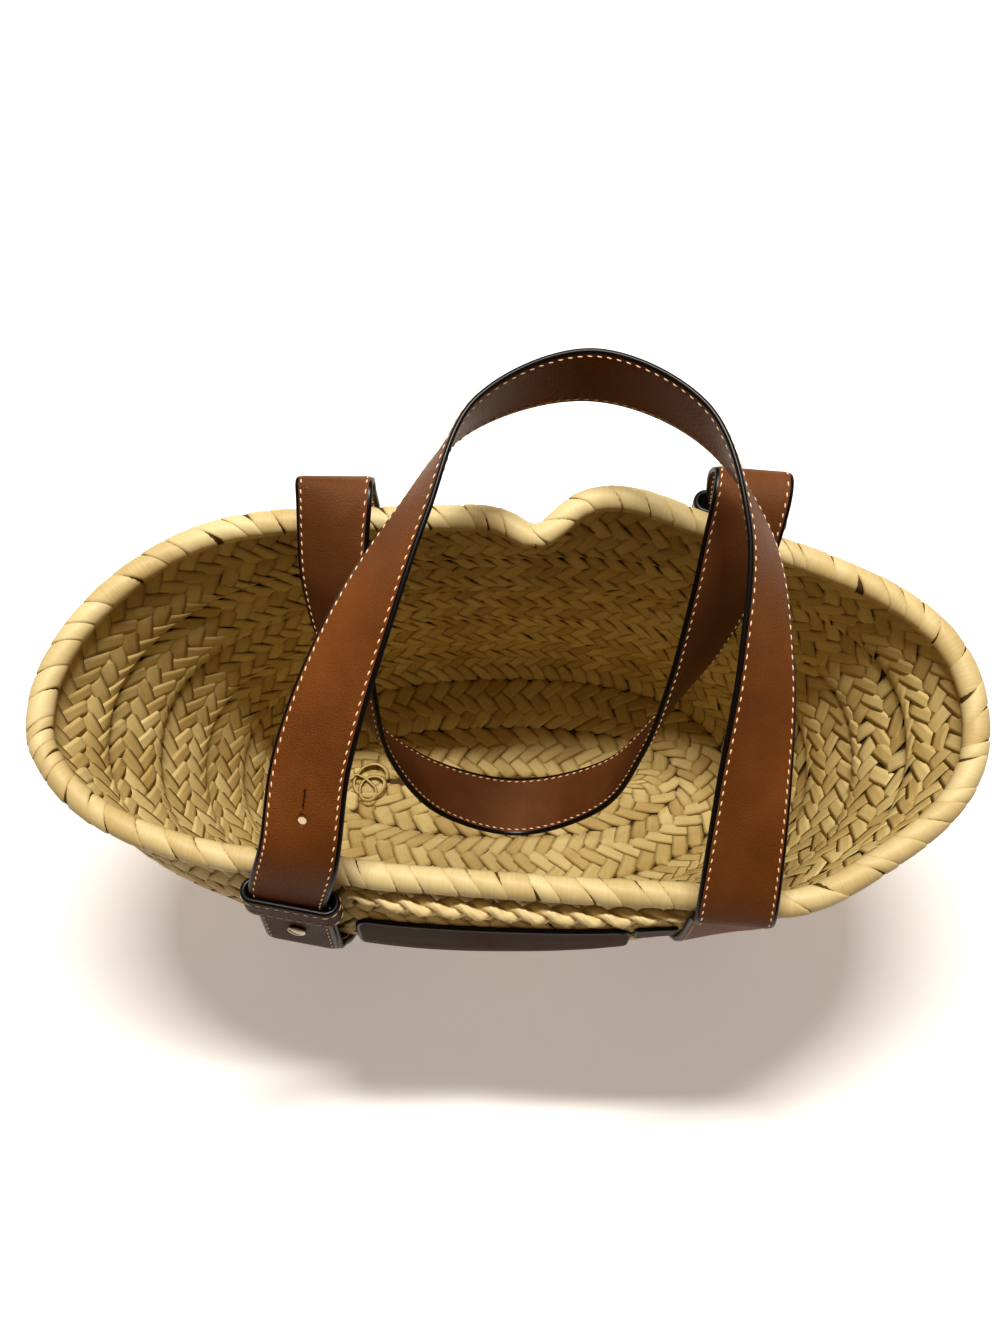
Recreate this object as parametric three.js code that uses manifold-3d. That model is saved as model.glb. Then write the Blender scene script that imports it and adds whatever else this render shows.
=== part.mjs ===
// Straw basket bag: a wide oval basket of plaited palm leaf with a wrapped rim,
// two long leather strap handles, their anchor straps, keepers and studs,
// a bare leather patch, a small leather tab and a twisted straw rope.
// Millimetres, +Z up, +X along the basket, -Y is the front with the patch.
// The origin is the middle of the flat base, on the surface the basket stands on.

import * as THREE from 'three';
import { mergeVertices } from 'three/addons/utils/BufferGeometryUtils.js';
import Module from 'manifold-3d';

const wasm = await Module();
wasm.setup();

// Driving sizes of the basket
const basketHeight = 225;
const rimLength = 448;
const rimWidth = 208;
const baseLength = 300;
const baseWidth = 156;
const baseEdgeRadius = 14;
const wallThickness = 2.6;
const plaitRipple = 0.5;
const rollDiameter = 13;
const wallInRoll = 1;

// Driving sizes of the leather and rope pieces
const strapWidth = 36;
const strapThickness = 3.2;
const strapFoot = 16;
const claspAcross = 96;
const legAcross = 100;
const backLegAcross = 80;
const backClaspAcross = 110;
const tailLength = 36;
const keeperThickness = 2;
const keeperHeight = 16;
const keeperSlack = 1.6;
const keeperCornerRadius = 2.8;
const studHeadDiameter = 8.6;
const studHeadHeight = 2.4;
const studPostDiameter = 4;
const studFromTailEnd = 20;
const adjustingHoleDiameter = 4.4;
const adjustingHoleShare = 0.126;
const anchorRise = 60;
const anchorRiseEnd = 18;
const anchorLead = 6;
const patchLength = 132;
const patchHeight = 46;
const patchThickness = 2.4;
const patchCornerRadius = 9;
const patchAcross = -7;
const patchDrop = 25.7;
const tabHeight = 14;
const tabThickness = 2;
const tabClearance = 1.2;
const ropeDiameter = 7.5;
const ropeEndShare = 0.6;
const ropeTaperShare = 0.2;

// Clearance between pieces that touch
const fitGap = 0.3;
// A little more where flat leather lies on the curved wall
const wallGap = 0.9;

// Fineness of the faceted surfaces
const stationsAround = 68;
const stripCount = 5;
const rowsPerStrip = 3;
const cornerSteps = 3;
const rollSides = 9;
const strapStep = 8;
const legSteps = 12;
const tailSteps = 7;
const anchorSteps = 10;
const ropeSteps = 22;
const ropeSides = 8;
const studSides = 20;
const holeSides = 16;
const lengthDivisions = 1200;

// The oval follows |x|^power + |y|^power = 1
const ovalPower = 2.3;

// A dent deepens towards the rim with this power of its height
const dentPower = 1.7;

// Wall shape up the basket: 0 is the base size and 1 is the rim size
const wallShape = [
  { height: 0.0, ends: 0.0, front: 0.0, back: 0.0 },
  { height: 0.15, ends: 0.12, front: 0.26, back: 0.16 },
  { height: 0.3, ends: 0.26, front: 0.58, back: 0.32 },
  { height: 0.5, ends: 0.45, front: 0.97, back: 0.54 },
  { height: 0.7, ends: 0.66, front: 1.22, back: 0.75 },
  { height: 0.85, ends: 0.83, front: 1.27, back: 0.89 },
  { height: 1.0, ends: 1.0, front: 1.0, back: 1.0 },
];

// Dents and bumps of the soft rim: around and spread are shares of the way round from the
// right end, push and lift are shares of the rim's half width, from is where the dent starts
const rimDents = [
  { around: 0.695, spread: 0.17, push: -0.21, lift: 0.0, from: 0.65 },
  { around: 0.662, spread: 0.018, push: -0.03, lift: 0.0, from: 0.75 },
  { around: 0.875, spread: 0.035, push: 0.09, lift: 0.0, from: 0.6 },
  { around: 0.39, spread: 0.06, push: 0.1, lift: 0.0, from: 0.6 },
  { around: 0.095, spread: 0.05, push: -0.03, lift: 0.0, from: 0.6 },
  { around: 0.199, spread: 0.034, push: 0.1, lift: 0.03, from: 0.7 },
  { around: 0.236, spread: 0.014, push: -0.12, lift: -0.01, from: 0.8 },
];

// Outline of a stud's head as shares of its radius and of its height
const studDome = [
  { out: 1.0, up: 0.4 },
  { out: 0.72, up: 0.85 },
  { out: 0.0, up: 1.0 },
];

// Free part of the front handle. across, back and up are shares of the rim's half length,
// its half width and the basket's height; edge values point from the middle of the strap
// to its inner edge.
const frontLoop = [
  { across: -0.4, back: -0.64, up: 1.13, edgeAcross: 0.95, edgeBack: -0.25, edgeUp: 0.05 },
  { across: -0.37, back: -0.28, up: 1.21, edgeAcross: 0.92, edgeBack: -0.35, edgeUp: 0.16 },
  { across: -0.29, back: 0.2, up: 1.28, edgeAcross: 0.79, edgeBack: -0.39, edgeUp: 0.47 },
  { across: -0.19, back: 0.68, up: 1.3, edgeAcross: 0.49, edgeBack: -0.27, edgeUp: 0.83 },
  { across: -0.07, back: 1.13, up: 1.3, edgeAcross: 0.12, edgeBack: 0.0, edgeUp: 1.0 },
  { across: 0.16, back: 1.32, up: 1.29, edgeAcross: 0.0, edgeBack: 0.2, edgeUp: 0.98 },
  { across: 0.37, back: 1.09, up: 1.31, edgeAcross: -0.05, edgeBack: 0.05, edgeUp: 1.0 },
  { across: 0.47, back: 0.62, up: 1.31, edgeAcross: -0.45, edgeBack: -0.13, edgeUp: 0.88 },
  { across: 0.48, back: 0.1, up: 1.27, edgeAcross: -0.77, edgeBack: -0.12, edgeUp: 0.63 },
  { across: 0.46, back: -0.4, up: 1.19, edgeAcross: -0.95, edgeBack: -0.05, edgeUp: 0.31 },
  { across: 0.445, back: -0.82, up: 1.075, edgeAcross: -1.0, edgeBack: 0.05, edgeUp: 0.08 },
  { across: 0.445, back: -0.905, up: 1.02, edgeAcross: -1.0, edgeBack: 0.05, edgeUp: 0.03 },
];

// Free part of the back handle, which curls over the back rim and hangs into the basket
const backLoop = [
  { across: -0.357, back: 1.02, up: 1.045, edgeAcross: 1.0, edgeBack: 0.0, edgeUp: 0.0 },
  { across: -0.356, back: 1.03, up: 1.085, edgeAcross: 1.0, edgeBack: 0.0, edgeUp: 0.0 },
  { across: -0.356, back: 0.985, up: 1.115, edgeAcross: 0.99, edgeBack: -0.1, edgeUp: 0.05 },
  { across: -0.357, back: 0.9, up: 1.108, edgeAcross: 0.97, edgeBack: -0.2, edgeUp: 0.1 },
  { across: -0.362, back: 0.77, up: 1.067, edgeAcross: 0.95, edgeBack: -0.27, edgeUp: 0.17 },
  { across: -0.365, back: 0.58, up: 0.99, edgeAcross: 0.92, edgeBack: -0.3, edgeUp: 0.24 },
  { across: -0.35, back: 0.29, up: 0.81, edgeAcross: 0.74, edgeBack: -0.5, edgeUp: 0.45 },
  { across: -0.3, back: 0.04, up: 0.61, edgeAcross: 0.41, edgeBack: -0.73, edgeUp: 0.54 },
  { across: -0.17, back: -0.155, up: 0.41, edgeAcross: 0.09, edgeBack: -0.89, edgeUp: 0.44 },
  { across: 0.03, back: -0.235, up: 0.32, edgeAcross: -0.02, edgeBack: -0.94, edgeUp: 0.34 },
  { across: 0.24, back: -0.145, up: 0.43, edgeAcross: -0.15, edgeBack: -0.85, edgeUp: 0.5 },
  { across: 0.34, back: 0.06, up: 0.63, edgeAcross: -0.39, edgeBack: -0.76, edgeUp: 0.53 },
  { across: 0.41, back: 0.3, up: 0.83, edgeAcross: -0.73, edgeBack: -0.46, edgeUp: 0.5 },
  { across: 0.46, back: 0.585, up: 1.01, edgeAcross: -0.95, edgeBack: -0.1, edgeUp: 0.31 },
  { across: 0.482, back: 0.77, up: 1.09, edgeAcross: -0.98, edgeBack: 0.1, edgeUp: 0.1 },
  { across: 0.496, back: 0.92, up: 1.135, edgeAcross: -0.99, edgeBack: 0.1, edgeUp: 0.0 },
  { across: 0.502, back: 1.015, up: 1.13, edgeAcross: -0.99, edgeBack: 0.1, edgeUp: 0.0 },
  { across: 0.497, back: 1.05, up: 1.085, edgeAcross: -0.99, edgeBack: 0.1, edgeUp: 0.0 },
];

// Places that follow from the sizes above
const rollRadius = rollDiameter / 2;
const rollHeight = basketHeight - rollRadius;
const wallTop = basketHeight - rollDiameter - fitGap;
const patchTop = wallTop - patchDrop;
const claspStack = keeperThickness + fitGap;
const strapLayer = strapThickness + fitGap;

const colours = {
  straw: new THREE.MeshStandardMaterial({ color: '#cdb77e', roughness: 0.75, metalness: 0 }),
  rimStraw: new THREE.MeshStandardMaterial({ color: '#d8c48c', roughness: 0.7, metalness: 0 }),
  rope: new THREE.MeshStandardMaterial({ color: '#c7ae70', roughness: 0.8, metalness: 0 }),
  frontStrap: new THREE.MeshStandardMaterial({ color: '#6b3c1e', roughness: 0.5, metalness: 0 }),
  backStrap: new THREE.MeshStandardMaterial({ color: '#64371b', roughness: 0.5, metalness: 0 }),
  anchor: new THREE.MeshStandardMaterial({ color: '#5c3218', roughness: 0.52, metalness: 0 }),
  keeper: new THREE.MeshStandardMaterial({ color: '#573017', roughness: 0.5, metalness: 0 }),
  stud: new THREE.MeshStandardMaterial({ color: '#b9a88c', roughness: 0.3, metalness: 1 }),
  patch: new THREE.MeshStandardMaterial({ color: '#4c2a12', roughness: 0.5, metalness: 0 }),
  tab: new THREE.MeshStandardMaterial({ color: '#5a3117', roughness: 0.5, metalness: 0 }),
};

// Smooth reading of one column of a table between its rows
function readColumn(rows, column, height) {
  const last = rows.length - 1;
  let row = 0;
  while (row < last - 1 && height > rows[row + 1].height) {
    row += 1;
  }
  const here = rows[row];
  const next = rows[row + 1];
  const before = rows[Math.max(row - 1, 0)];
  const after = rows[Math.min(row + 2, last)];
  const span = next.height - here.height;
  const share = (height - here.height) / span;
  const slopeHere = (next[column] - before[column]) / (next.height - before.height);
  const slopeNext = (after[column] - here[column]) / (after.height - here.height);
  const square = share * share;
  const cube = square * share;
  return (2 * cube - 3 * square + 1) * here[column]
    + (cube - 2 * square + share) * span * slopeHere
    + (3 * square - 2 * cube) * next[column]
    + (cube - square) * span * slopeNext;
}

// A point of an oval whose front and back halves may differ
function ovalPoint(angle, halfLength, halfFront, halfBack) {
  const cosine = Math.cos(angle);
  const sine = Math.sin(angle);
  const halfWidth = sine < 0 ? halfFront : halfBack;
  const x = halfLength * Math.sign(cosine) * Math.abs(cosine) ** (2 / ovalPower);
  const y = halfWidth * Math.sign(sine) * Math.abs(sine) ** (2 / ovalPower);
  return new THREE.Vector2(x, y);
}

// Angles that place the stations at equal steps along the rim
function equalAngles(count) {
  const fineSteps = 1440;
  const lengths = [0];
  let before = ovalPoint(0, rimLength / 2, rimWidth / 2, rimWidth / 2);
  for (let step = 1; step <= fineSteps; step += 1) {
    const angle = (step / fineSteps) * 2 * Math.PI;
    const point = ovalPoint(angle, rimLength / 2, rimWidth / 2, rimWidth / 2);
    lengths.push(lengths[step - 1] + point.distanceTo(before));
    before = point;
  }
  const angles = [];
  let step = 0;
  for (let station = 0; station < count; station += 1) {
    const wanted = (station / count) * lengths[fineSteps];
    while (lengths[step + 1] < wanted) {
      step += 1;
    }
    const rest = (wanted - lengths[step]) / (lengths[step + 1] - lengths[step]);
    angles.push(((step + rest) / fineSteps) * 2 * Math.PI);
  }
  return angles;
}

const stationAngles = equalAngles(stationsAround);

// Middle of the wall all round at one height share, with the outward direction
function wallRing(height) {
  const halfLength = THREE.MathUtils.lerp(
    baseLength / 2, rimLength / 2 - rollRadius, readColumn(wallShape, 'ends', height));
  const rimHalf = rimWidth / 2 - rollRadius;
  const halfFront = THREE.MathUtils.lerp(baseWidth / 2, rimHalf, readColumn(wallShape, 'front', height));
  const halfBack = THREE.MathUtils.lerp(baseWidth / 2, rimHalf, readColumn(wallShape, 'back', height));
  const points = stationAngles.map((angle, station) => {
    const flat = ovalPoint(angle, halfLength, halfFront, halfBack);
    const side = Math.sin(angle) < 0 ? -1 : 1;
    let lift = 0;
    for (const dent of rimDents) {
      let away = station / stationsAround - dent.around;
      away -= Math.round(away);
      const depth = THREE.MathUtils.clamp((height - dent.from) / (1 - dent.from), 0, 1) ** dentPower;
      const strength = depth * Math.exp(-((away / dent.spread) ** 2)) * (rimWidth / 2);
      flat.y += side * dent.push * strength;
      lift += dent.lift * strength;
    }
    return new THREE.Vector3(flat.x, flat.y, height * wallTop + lift);
  });
  const outward = points.map((point, station) => {
    const next = points[(station + 1) % stationsAround];
    const before = points[(station + stationsAround - 1) % stationsAround];
    return new THREE.Vector3(next.y - before.y, before.x - next.x, 0).normalize();
  });
  return { points, outward };
}

// One ring of surface points: the wall's middle moved outward, and to its own height
function movedRing(ring, outwardBy, raisedBy) {
  return ring.points.map((point, station) => {
    const moved = point.clone().addScaledVector(ring.outward[station], outwardBy);
    moved.z += raisedBy;
    return moved;
  });
}

// Outer and inner surfaces of the basket from the base's edge to the top edge
function basketRings() {
  const outer = [];
  const inner = [];
  const cornerShare = baseEdgeRadius / wallTop;
  const cornerRing = wallRing(cornerShare);
  const innerRadius = baseEdgeRadius - wallThickness;
  const half = wallThickness / 2;
  for (let step = 0; step < cornerSteps; step += 1) {
    const turn = (step / cornerSteps) * (Math.PI / 2);
    const outerIn = baseEdgeRadius * (1 - Math.sin(turn));
    const outerUp = baseEdgeRadius * (1 - Math.cos(turn));
    const innerIn = innerRadius * (1 - Math.sin(turn));
    const innerUp = wallThickness + innerRadius * (1 - Math.cos(turn));
    outer.push(movedRing(cornerRing, half - outerIn, outerUp - baseEdgeRadius));
    inner.push(movedRing(cornerRing, -half - innerIn, innerUp - baseEdgeRadius));
  }
  const rowCount = stripCount * rowsPerStrip;
  for (let row = 0; row <= rowCount; row += 1) {
    const height = THREE.MathUtils.lerp(cornerShare, 1, row / rowCount);
    const ring = wallRing(height);
    const fullness = -Math.cos((row / rowsPerStrip) * 2 * Math.PI) * plaitRipple;
    outer.push(movedRing(ring, half + fullness, 0));
    inner.push(movedRing(ring, -half - fullness, 0));
  }
  const topRing = wallRing(1);
  const neckRise = rollHeight + wallInRoll - wallTop;
  outer.push(movedRing(topRing, half - plaitRipple, neckRise));
  inner.push(movedRing(topRing, -half + plaitRipple, neckRise));
  return { outer, inner };
}

const rings = basketRings();

// Closed solid from rows of points that are joined into bands, all in the same sense
function solidFromRows(rows, { rowsClose, endCaps }) {
  const columns = rows[0].length;
  const positions = rows.flat().flatMap((point) => [point.x, point.y, point.z]);
  const index = [];
  const bandCount = rowsClose ? rows.length : rows.length - 1;
  for (let row = 0; row < bandCount; row += 1) {
    const here = row * columns;
    const above = ((row + 1) % rows.length) * columns;
    for (let column = 0; column < columns; column += 1) {
      const next = (column + 1) % columns;
      index.push(here + column, here + next, above + next);
      index.push(here + column, above + next, above + column);
    }
  }
  if (endCaps) {
    const last = (rows.length - 1) * columns;
    for (let column = 0; column < columns / 2 - 1; column += 1) {
      const low = columns - 1 - column;
      const lower = low - 1;
      index.push(column, low, column + 1);
      index.push(last + column, last + column + 1, last + low);
      if (column + 1 < lower) {
        index.push(column + 1, low, lower);
        index.push(last + column + 1, last + lower, last + low);
      }
    }
  }
  const geometry = new THREE.BufferGeometry();
  geometry.setAttribute('position', new THREE.Float32BufferAttribute(positions, 3));
  geometry.setIndex(index);
  return geometry;
}

function makeSolid(geometry) {
  const bare = geometry.clone();
  bare.deleteAttribute('normal');
  bare.deleteAttribute('uv');
  const merged = mergeVertices(bare, 1e-4);
  return new wasm.Manifold(new wasm.Mesh({
    numProp: 3,
    vertProperties: new Float32Array(merged.attributes.position.array),
    triVerts: new Uint32Array(merged.index.array),
  }));
}

function geometryOf(solid) {
  const mesh = solid.getMesh();
  const geometry = new THREE.BufferGeometry();
  geometry.setAttribute('position', new THREE.BufferAttribute(mesh.vertProperties, 3));
  geometry.setIndex(new THREE.BufferAttribute(mesh.triVerts, 1));
  return geometry;
}

// The basket: outer surface up, over the top edge, and down the inside to the floor
function makeShell() {
  const rows = [...rings.outer, ...rings.inner.slice().reverse()];
  return solidFromRows(rows, { rowsClose: false, endCaps: true });
}

// The rim roll: a round section with a slot below that holds the wall's top edge
function makeRim() {
  const ring = wallRing(1);
  const slotHalf = wallThickness / 2 - plaitRipple + fitGap;
  const slotTop = wallInRoll + fitGap;
  const opening = Math.asin(slotHalf / rollRadius);
  const section = [];
  for (let side = 0; side <= rollSides; side += 1) {
    const turn = THREE.MathUtils.lerp(opening, 2 * Math.PI - opening, side / rollSides);
    section.push({ out: rollRadius * Math.sin(turn), up: -rollRadius * Math.cos(turn) });
  }
  section.push({ out: -slotHalf, up: slotTop });
  section.push({ out: slotHalf, up: slotTop });
  const rows = section.map(({ out, up }) => movedRing(ring, out, rollHeight - wallTop + up));
  return solidFromRows(rows, { rowsClose: true, endCaps: false });
}

// Where a ring of points crosses a given x on the front (-1) or back (1) side
function crossing(points, x, side) {
  let best = null;
  for (let station = 0; station < points.length; station += 1) {
    const here = points[station];
    const next = points[(station + 1) % points.length];
    const spans = (here.x - x) * (next.x - x) <= 0 && here.x !== next.x;
    if (spans && here.y * side > 0 && next.y * side > 0) {
      const share = (x - here.x) / (next.x - here.x);
      const out = side * THREE.MathUtils.lerp(here.y, next.y, share);
      const up = THREE.MathUtils.lerp(here.z, next.z, share);
      if (best === null || out > best.out) {
        best = { out, up };
      }
    }
  }
  return best;
}

// Outline of the basket and its roll at one x, from the foot up to the roll's widest point
function sideOutline(x, side) {
  const outline = rings.outer.slice(cornerSteps, -1).map((ring) => crossing(ring, x, side));
  const middle = crossing(movedRing(wallRing(1), 0, rollHeight - wallTop), x, side);
  for (const degrees of [-50, -25, 0]) {
    const turn = THREE.MathUtils.degToRad(degrees);
    outline.push({
      out: middle.out + rollRadius * Math.cos(turn),
      up: middle.up + rollRadius * Math.sin(turn),
    });
  }
  return outline;
}

// A taut strap bridges every hollow of the outline with a straight line
function tautOutline(outline) {
  return outline.map((point, place) => {
    let out = point.out;
    for (let low = 0; low < place; low += 1) {
      for (let high = place + 1; high < outline.length; high += 1) {
        const from = outline[low];
        const to = outline[high];
        const share = (point.up - from.up) / (to.up - from.up);
        out = Math.max(out, THREE.MathUtils.lerp(from.out, to.out, share));
      }
    }
    return { out, up: point.up };
  });
}

// Where a piece lies on the side of the basket at one x and one height:
// the point, the direction up the side and the direction across to larger x
function seat(x, side, height, lift) {
  const line = tautOutline(sideOutline(x, side));
  const read = (points, level) => {
    let place = 0;
    while (place < points.length - 2 && level > points[place + 1].up) {
      place += 1;
    }
    const from = points[place];
    const to = points[place + 1];
    const share = (level - from.up) / (to.up - from.up);
    return THREE.MathUtils.lerp(from.out, to.out, share);
  };
  const reach = 4;
  const slope = (read(line, height + reach / 2) - read(line, height - reach / 2)) / reach;
  const up = new THREE.Vector3(0, side * slope, 1).normalize();
  const leftLine = tautOutline(sideOutline(x - strapWidth / 2, side));
  const rightLine = tautOutline(sideOutline(x + strapWidth / 2, side));
  const swing = side * (read(rightLine, height) - read(leftLine, height));
  const across = new THREE.Vector3(strapWidth, swing, 0).normalize();
  across.addScaledVector(up, -across.dot(up)).normalize();
  const outwards = new THREE.Vector3().crossVectors(across, up);
  if (outwards.y * side < 0) {
    outwards.negate();
  }
  const point = new THREE.Vector3(x, side * read(line, height), height);
  point.addScaledVector(outwards, lift);
  return { point, up, across, outwards };
}

// The clasp frames: where a handle's end lies on its anchor strap, straight up to the roll
const claspTop = rollHeight - fitGap;
const tailStraightTop = claspTop + 2 * keeperThickness;
const keeperMiddle = claspTop - keeperHeight / 2 + 2;
const tailBottom = keeperMiddle - keeperHeight / 2 - tailLength;
const anchorLift = wallGap + claspStack + strapThickness / 2;
const tailLift = anchorLift + strapLayer;
const lowLift = wallGap + strapThickness / 2;
const keeperHalfWidth = strapWidth / 2 + keeperSlack + keeperThickness;

function claspFrame(x, side) {
  const top = seat(x, side, claspTop, 0);
  const bottom = seat(x, side, tailBottom, 0);
  const up = top.point.clone().sub(bottom.point).normalize();
  const across = bottom.across.clone();
  across.addScaledVector(up, -across.dot(up)).normalize();
  const outwards = new THREE.Vector3().crossVectors(across, up);
  if (outwards.y * side < 0) {
    outwards.negate();
  }
  let standOff = 0;
  for (const share of [-1, -0.5, 0, 0.5, 1]) {
    const line = tautOutline(sideOutline(x + share * keeperHalfWidth, side));
    for (const { out, up: height } of line.filter((row) => row.up > tailBottom)) {
      const point = new THREE.Vector3(x + share * keeperHalfWidth, side * out, height);
      standOff = Math.max(standOff, point.sub(bottom.point).dot(outwards));
    }
  }
  const at = (height, lift) => bottom.point.clone()
    .addScaledVector(up, (height - bottom.point.z) / up.z)
    .addScaledVector(outwards, lift + standOff);
  return { up, across, outwards, at };
}

const frontClasp = claspFrame(-claspAcross, -1);
const backClasp = claspFrame(backClaspAcross, 1);

// Route of a strap: middle points and the direction to its inner edge
function newRoute() {
  return { middle: [], edge: [] };
}

function addToRoute(route, point, edge) {
  route.middle.push(point.clone());
  route.edge.push(edge.clone().normalize());
}

function addLoop(route, rows) {
  for (const row of rows) {
    const point = new THREE.Vector3(
      row.across * (rimLength / 2), row.back * (rimWidth / 2), row.up * basketHeight);
    addToRoute(route, point, new THREE.Vector3(row.edgeAcross, row.edgeBack, row.edgeUp));
  }
}

// The handle's end on its anchor: straight from the tail's end to the roll
function tailRoute(clasp, innerSign) {
  const route = newRoute();
  for (let step = 0; step <= tailSteps; step += 1) {
    const height = THREE.MathUtils.lerp(tailBottom, tailStraightTop, step / tailSteps);
    addToRoute(route, clasp.at(height, tailLift), clasp.across.clone().multiplyScalar(innerSign));
  }
  return route;
}

// Heights of the points where a strap lies on the wall, from the top down
function wallHeights() {
  return Array.from({ length: legSteps + 1 }, (_, step) => (
    THREE.MathUtils.lerp(claspTop, strapFoot, step / legSteps)));
}

function addWallLeg(route, x, side, innerSign) {
  for (const height of wallHeights()) {
    const place = seat(x, side, height, lowLift);
    addToRoute(route, place.point, place.across.multiplyScalar(innerSign));
  }
}

// A flat strap of even width that bends and twists along its route
function ribbon(route) {
  const middle = new THREE.CatmullRomCurve3(route.middle, false, 'centripetal');
  const edge = new THREE.CatmullRomCurve3(route.edge, false, 'catmullrom');
  middle.arcLengthDivisions = lengthDivisions;
  const steps = Math.ceil(middle.getLength() / strapStep);
  const rows = [];
  for (let step = 0; step <= steps; step += 1) {
    const place = middle.getUtoTmapping(step / steps);
    const centre = middle.getPoint(place);
    const along = middle.getTangent(place);
    const across = edge.getPoint(place);
    across.addScaledVector(along, -across.dot(along)).normalize();
    const face = new THREE.Vector3().crossVectors(across, along);
    const corner = (wide, deep) => centre.clone()
      .addScaledVector(across, (wide * strapWidth) / 2)
      .addScaledVector(face, (deep * strapThickness) / 2);
    rows.push([corner(-1, -1), corner(-1, 1), corner(1, 1), corner(1, -1)]);
  }
  return { geometry: solidFromRows(rows, { rowsClose: false, endCaps: true }), middle, edge };
}

// A drill along a direction, for stud and adjusting holes
function drill(centre, direction, diameter) {
  const length = 6 * strapThickness;
  const cylinder = new THREE.CylinderGeometry(diameter / 2, diameter / 2, length, holeSides);
  const turn = new THREE.Quaternion().setFromUnitVectors(new THREE.Vector3(0, 1, 0), direction);
  cylinder.applyQuaternion(turn);
  cylinder.translate(centre.x, centre.y, centre.z);
  return makeSolid(cylinder);
}

const studHeight = tailBottom + studFromTailEnd;

function studHole(clasp) {
  return drill(clasp.at(studHeight, anchorLift), clasp.outwards, studPostDiameter + 2 * fitGap);
}

function makeFrontHandle() {
  const route = tailRoute(frontClasp, 1);
  addLoop(route, frontLoop);
  addWallLeg(route, legAcross, -1, -1);
  const strap = ribbon(route);
  const place = strap.middle.getUtoTmapping(adjustingHoleShare);
  const centre = strap.middle.getPoint(place);
  const along = strap.middle.getTangent(place);
  const face = new THREE.Vector3().crossVectors(strap.edge.getPoint(place), along).normalize();
  const hole = drill(centre, face, adjustingHoleDiameter);
  return geometryOf(makeSolid(strap.geometry).subtract(studHole(frontClasp)).subtract(hole));
}

function makeBackHandle() {
  const route = newRoute();
  for (const height of wallHeights().reverse()) {
    const place = seat(-backLegAcross, 1, height, lowLift);
    addToRoute(route, place.point, place.across);
  }
  addLoop(route, backLoop);
  const tail = tailRoute(backClasp, -1);
  tail.middle.reverse().forEach((point, place) => addToRoute(route, point, tail.edge[place]));
  const strap = ribbon(route);
  return geometryOf(makeSolid(strap.geometry).subtract(studHole(backClasp)));
}

// An anchor strap lies on the wall from its foot and stands off a little at its keeper
function makeAnchor(x, side, clasp) {
  const route = newRoute();
  const riseEnd = tailBottom - anchorRiseEnd;
  const innerSign = side * Math.sign(x);
  for (let step = 0; step < anchorSteps; step += 1) {
    const height = THREE.MathUtils.lerp(strapFoot, riseEnd, step / (anchorSteps - 1));
    const lift = THREE.MathUtils.smoothstep(height, riseEnd - anchorRise, riseEnd);
    const place = seat(x, side, height, THREE.MathUtils.lerp(lowLift, anchorLift, lift));
    addToRoute(route, place.point, place.across.multiplyScalar(innerSign));
  }
  for (const height of [tailBottom - anchorLead, tailBottom, studHeight, keeperMiddle, claspTop - fitGap]) {
    addToRoute(route, clasp.at(height, anchorLift), clasp.across.clone().multiplyScalar(innerSign));
  }
  const strap = ribbon(route);
  return geometryOf(makeSolid(strap.geometry).subtract(studHole(clasp)));
}

// Places a geometry made along +Z, with +X across, in a clasp's frame
function placeAtClasp(mesh, clasp, height, lift) {
  const turn = new THREE.Matrix4().makeBasis(
    clasp.across, new THREE.Vector3().crossVectors(clasp.up, clasp.across), clasp.up);
  mesh.quaternion.setFromRotationMatrix(turn);
  mesh.position.copy(clasp.at(height, lift));
  return mesh;
}

function roundedRectangle(shape, halfWidth, halfDepth, radius) {
  shape.moveTo(-halfWidth + radius, -halfDepth);
  shape.lineTo(halfWidth - radius, -halfDepth);
  shape.absarc(halfWidth - radius, -halfDepth + radius, radius, -Math.PI / 2, 0, false);
  shape.lineTo(halfWidth, halfDepth - radius);
  shape.absarc(halfWidth - radius, halfDepth - radius, radius, 0, Math.PI / 2, false);
  shape.lineTo(-halfWidth + radius, halfDepth);
  shape.absarc(-halfWidth + radius, halfDepth - radius, radius, Math.PI / 2, Math.PI, false);
  shape.lineTo(-halfWidth, -halfDepth + radius);
  shape.absarc(-halfWidth + radius, -halfDepth + radius, radius, Math.PI, 1.5 * Math.PI, false);
  return shape;
}

// The keeper: a leather loop round the handle's end and its anchor strap
function makeKeeper() {
  const halfWide = keeperHalfWidth - keeperThickness;
  const halfDeep = (2 * strapLayer + fitGap) / 2;
  const outline = roundedRectangle(
    new THREE.Shape(), keeperHalfWidth, halfDeep + keeperThickness, keeperCornerRadius);
  outline.holes.push(roundedRectangle(new THREE.Path(), halfWide, halfDeep, fitGap));
  const geometry = new THREE.ExtrudeGeometry(outline, {
    depth: keeperHeight, bevelEnabled: false, curveSegments: 3,
  });
  geometry.translate(0, 0, -keeperHeight / 2);
  return geometry;
}

// The stud: a domed head over the tail and a post through both straps
function makeStud() {
  const reach = 2 * strapLayer;
  const headRadius = studHeadDiameter / 2;
  const profile = [
    new THREE.Vector2(0, -reach),
    new THREE.Vector2(studPostDiameter / 2, -reach),
    new THREE.Vector2(studPostDiameter / 2, fitGap),
    new THREE.Vector2(headRadius, fitGap),
    ...studDome.map(({ out, up }) => (
      new THREE.Vector2(headRadius * out, fitGap + studHeadHeight * up))),
  ];
  return new THREE.LatheGeometry(profile, studSides);
}

function placeStud(mesh, clasp) {
  mesh.quaternion.setFromUnitVectors(new THREE.Vector3(0, 1, 0), clasp.outwards);
  mesh.position.copy(clasp.at(studHeight, tailLift + strapThickness / 2));
  return mesh;
}

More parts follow.
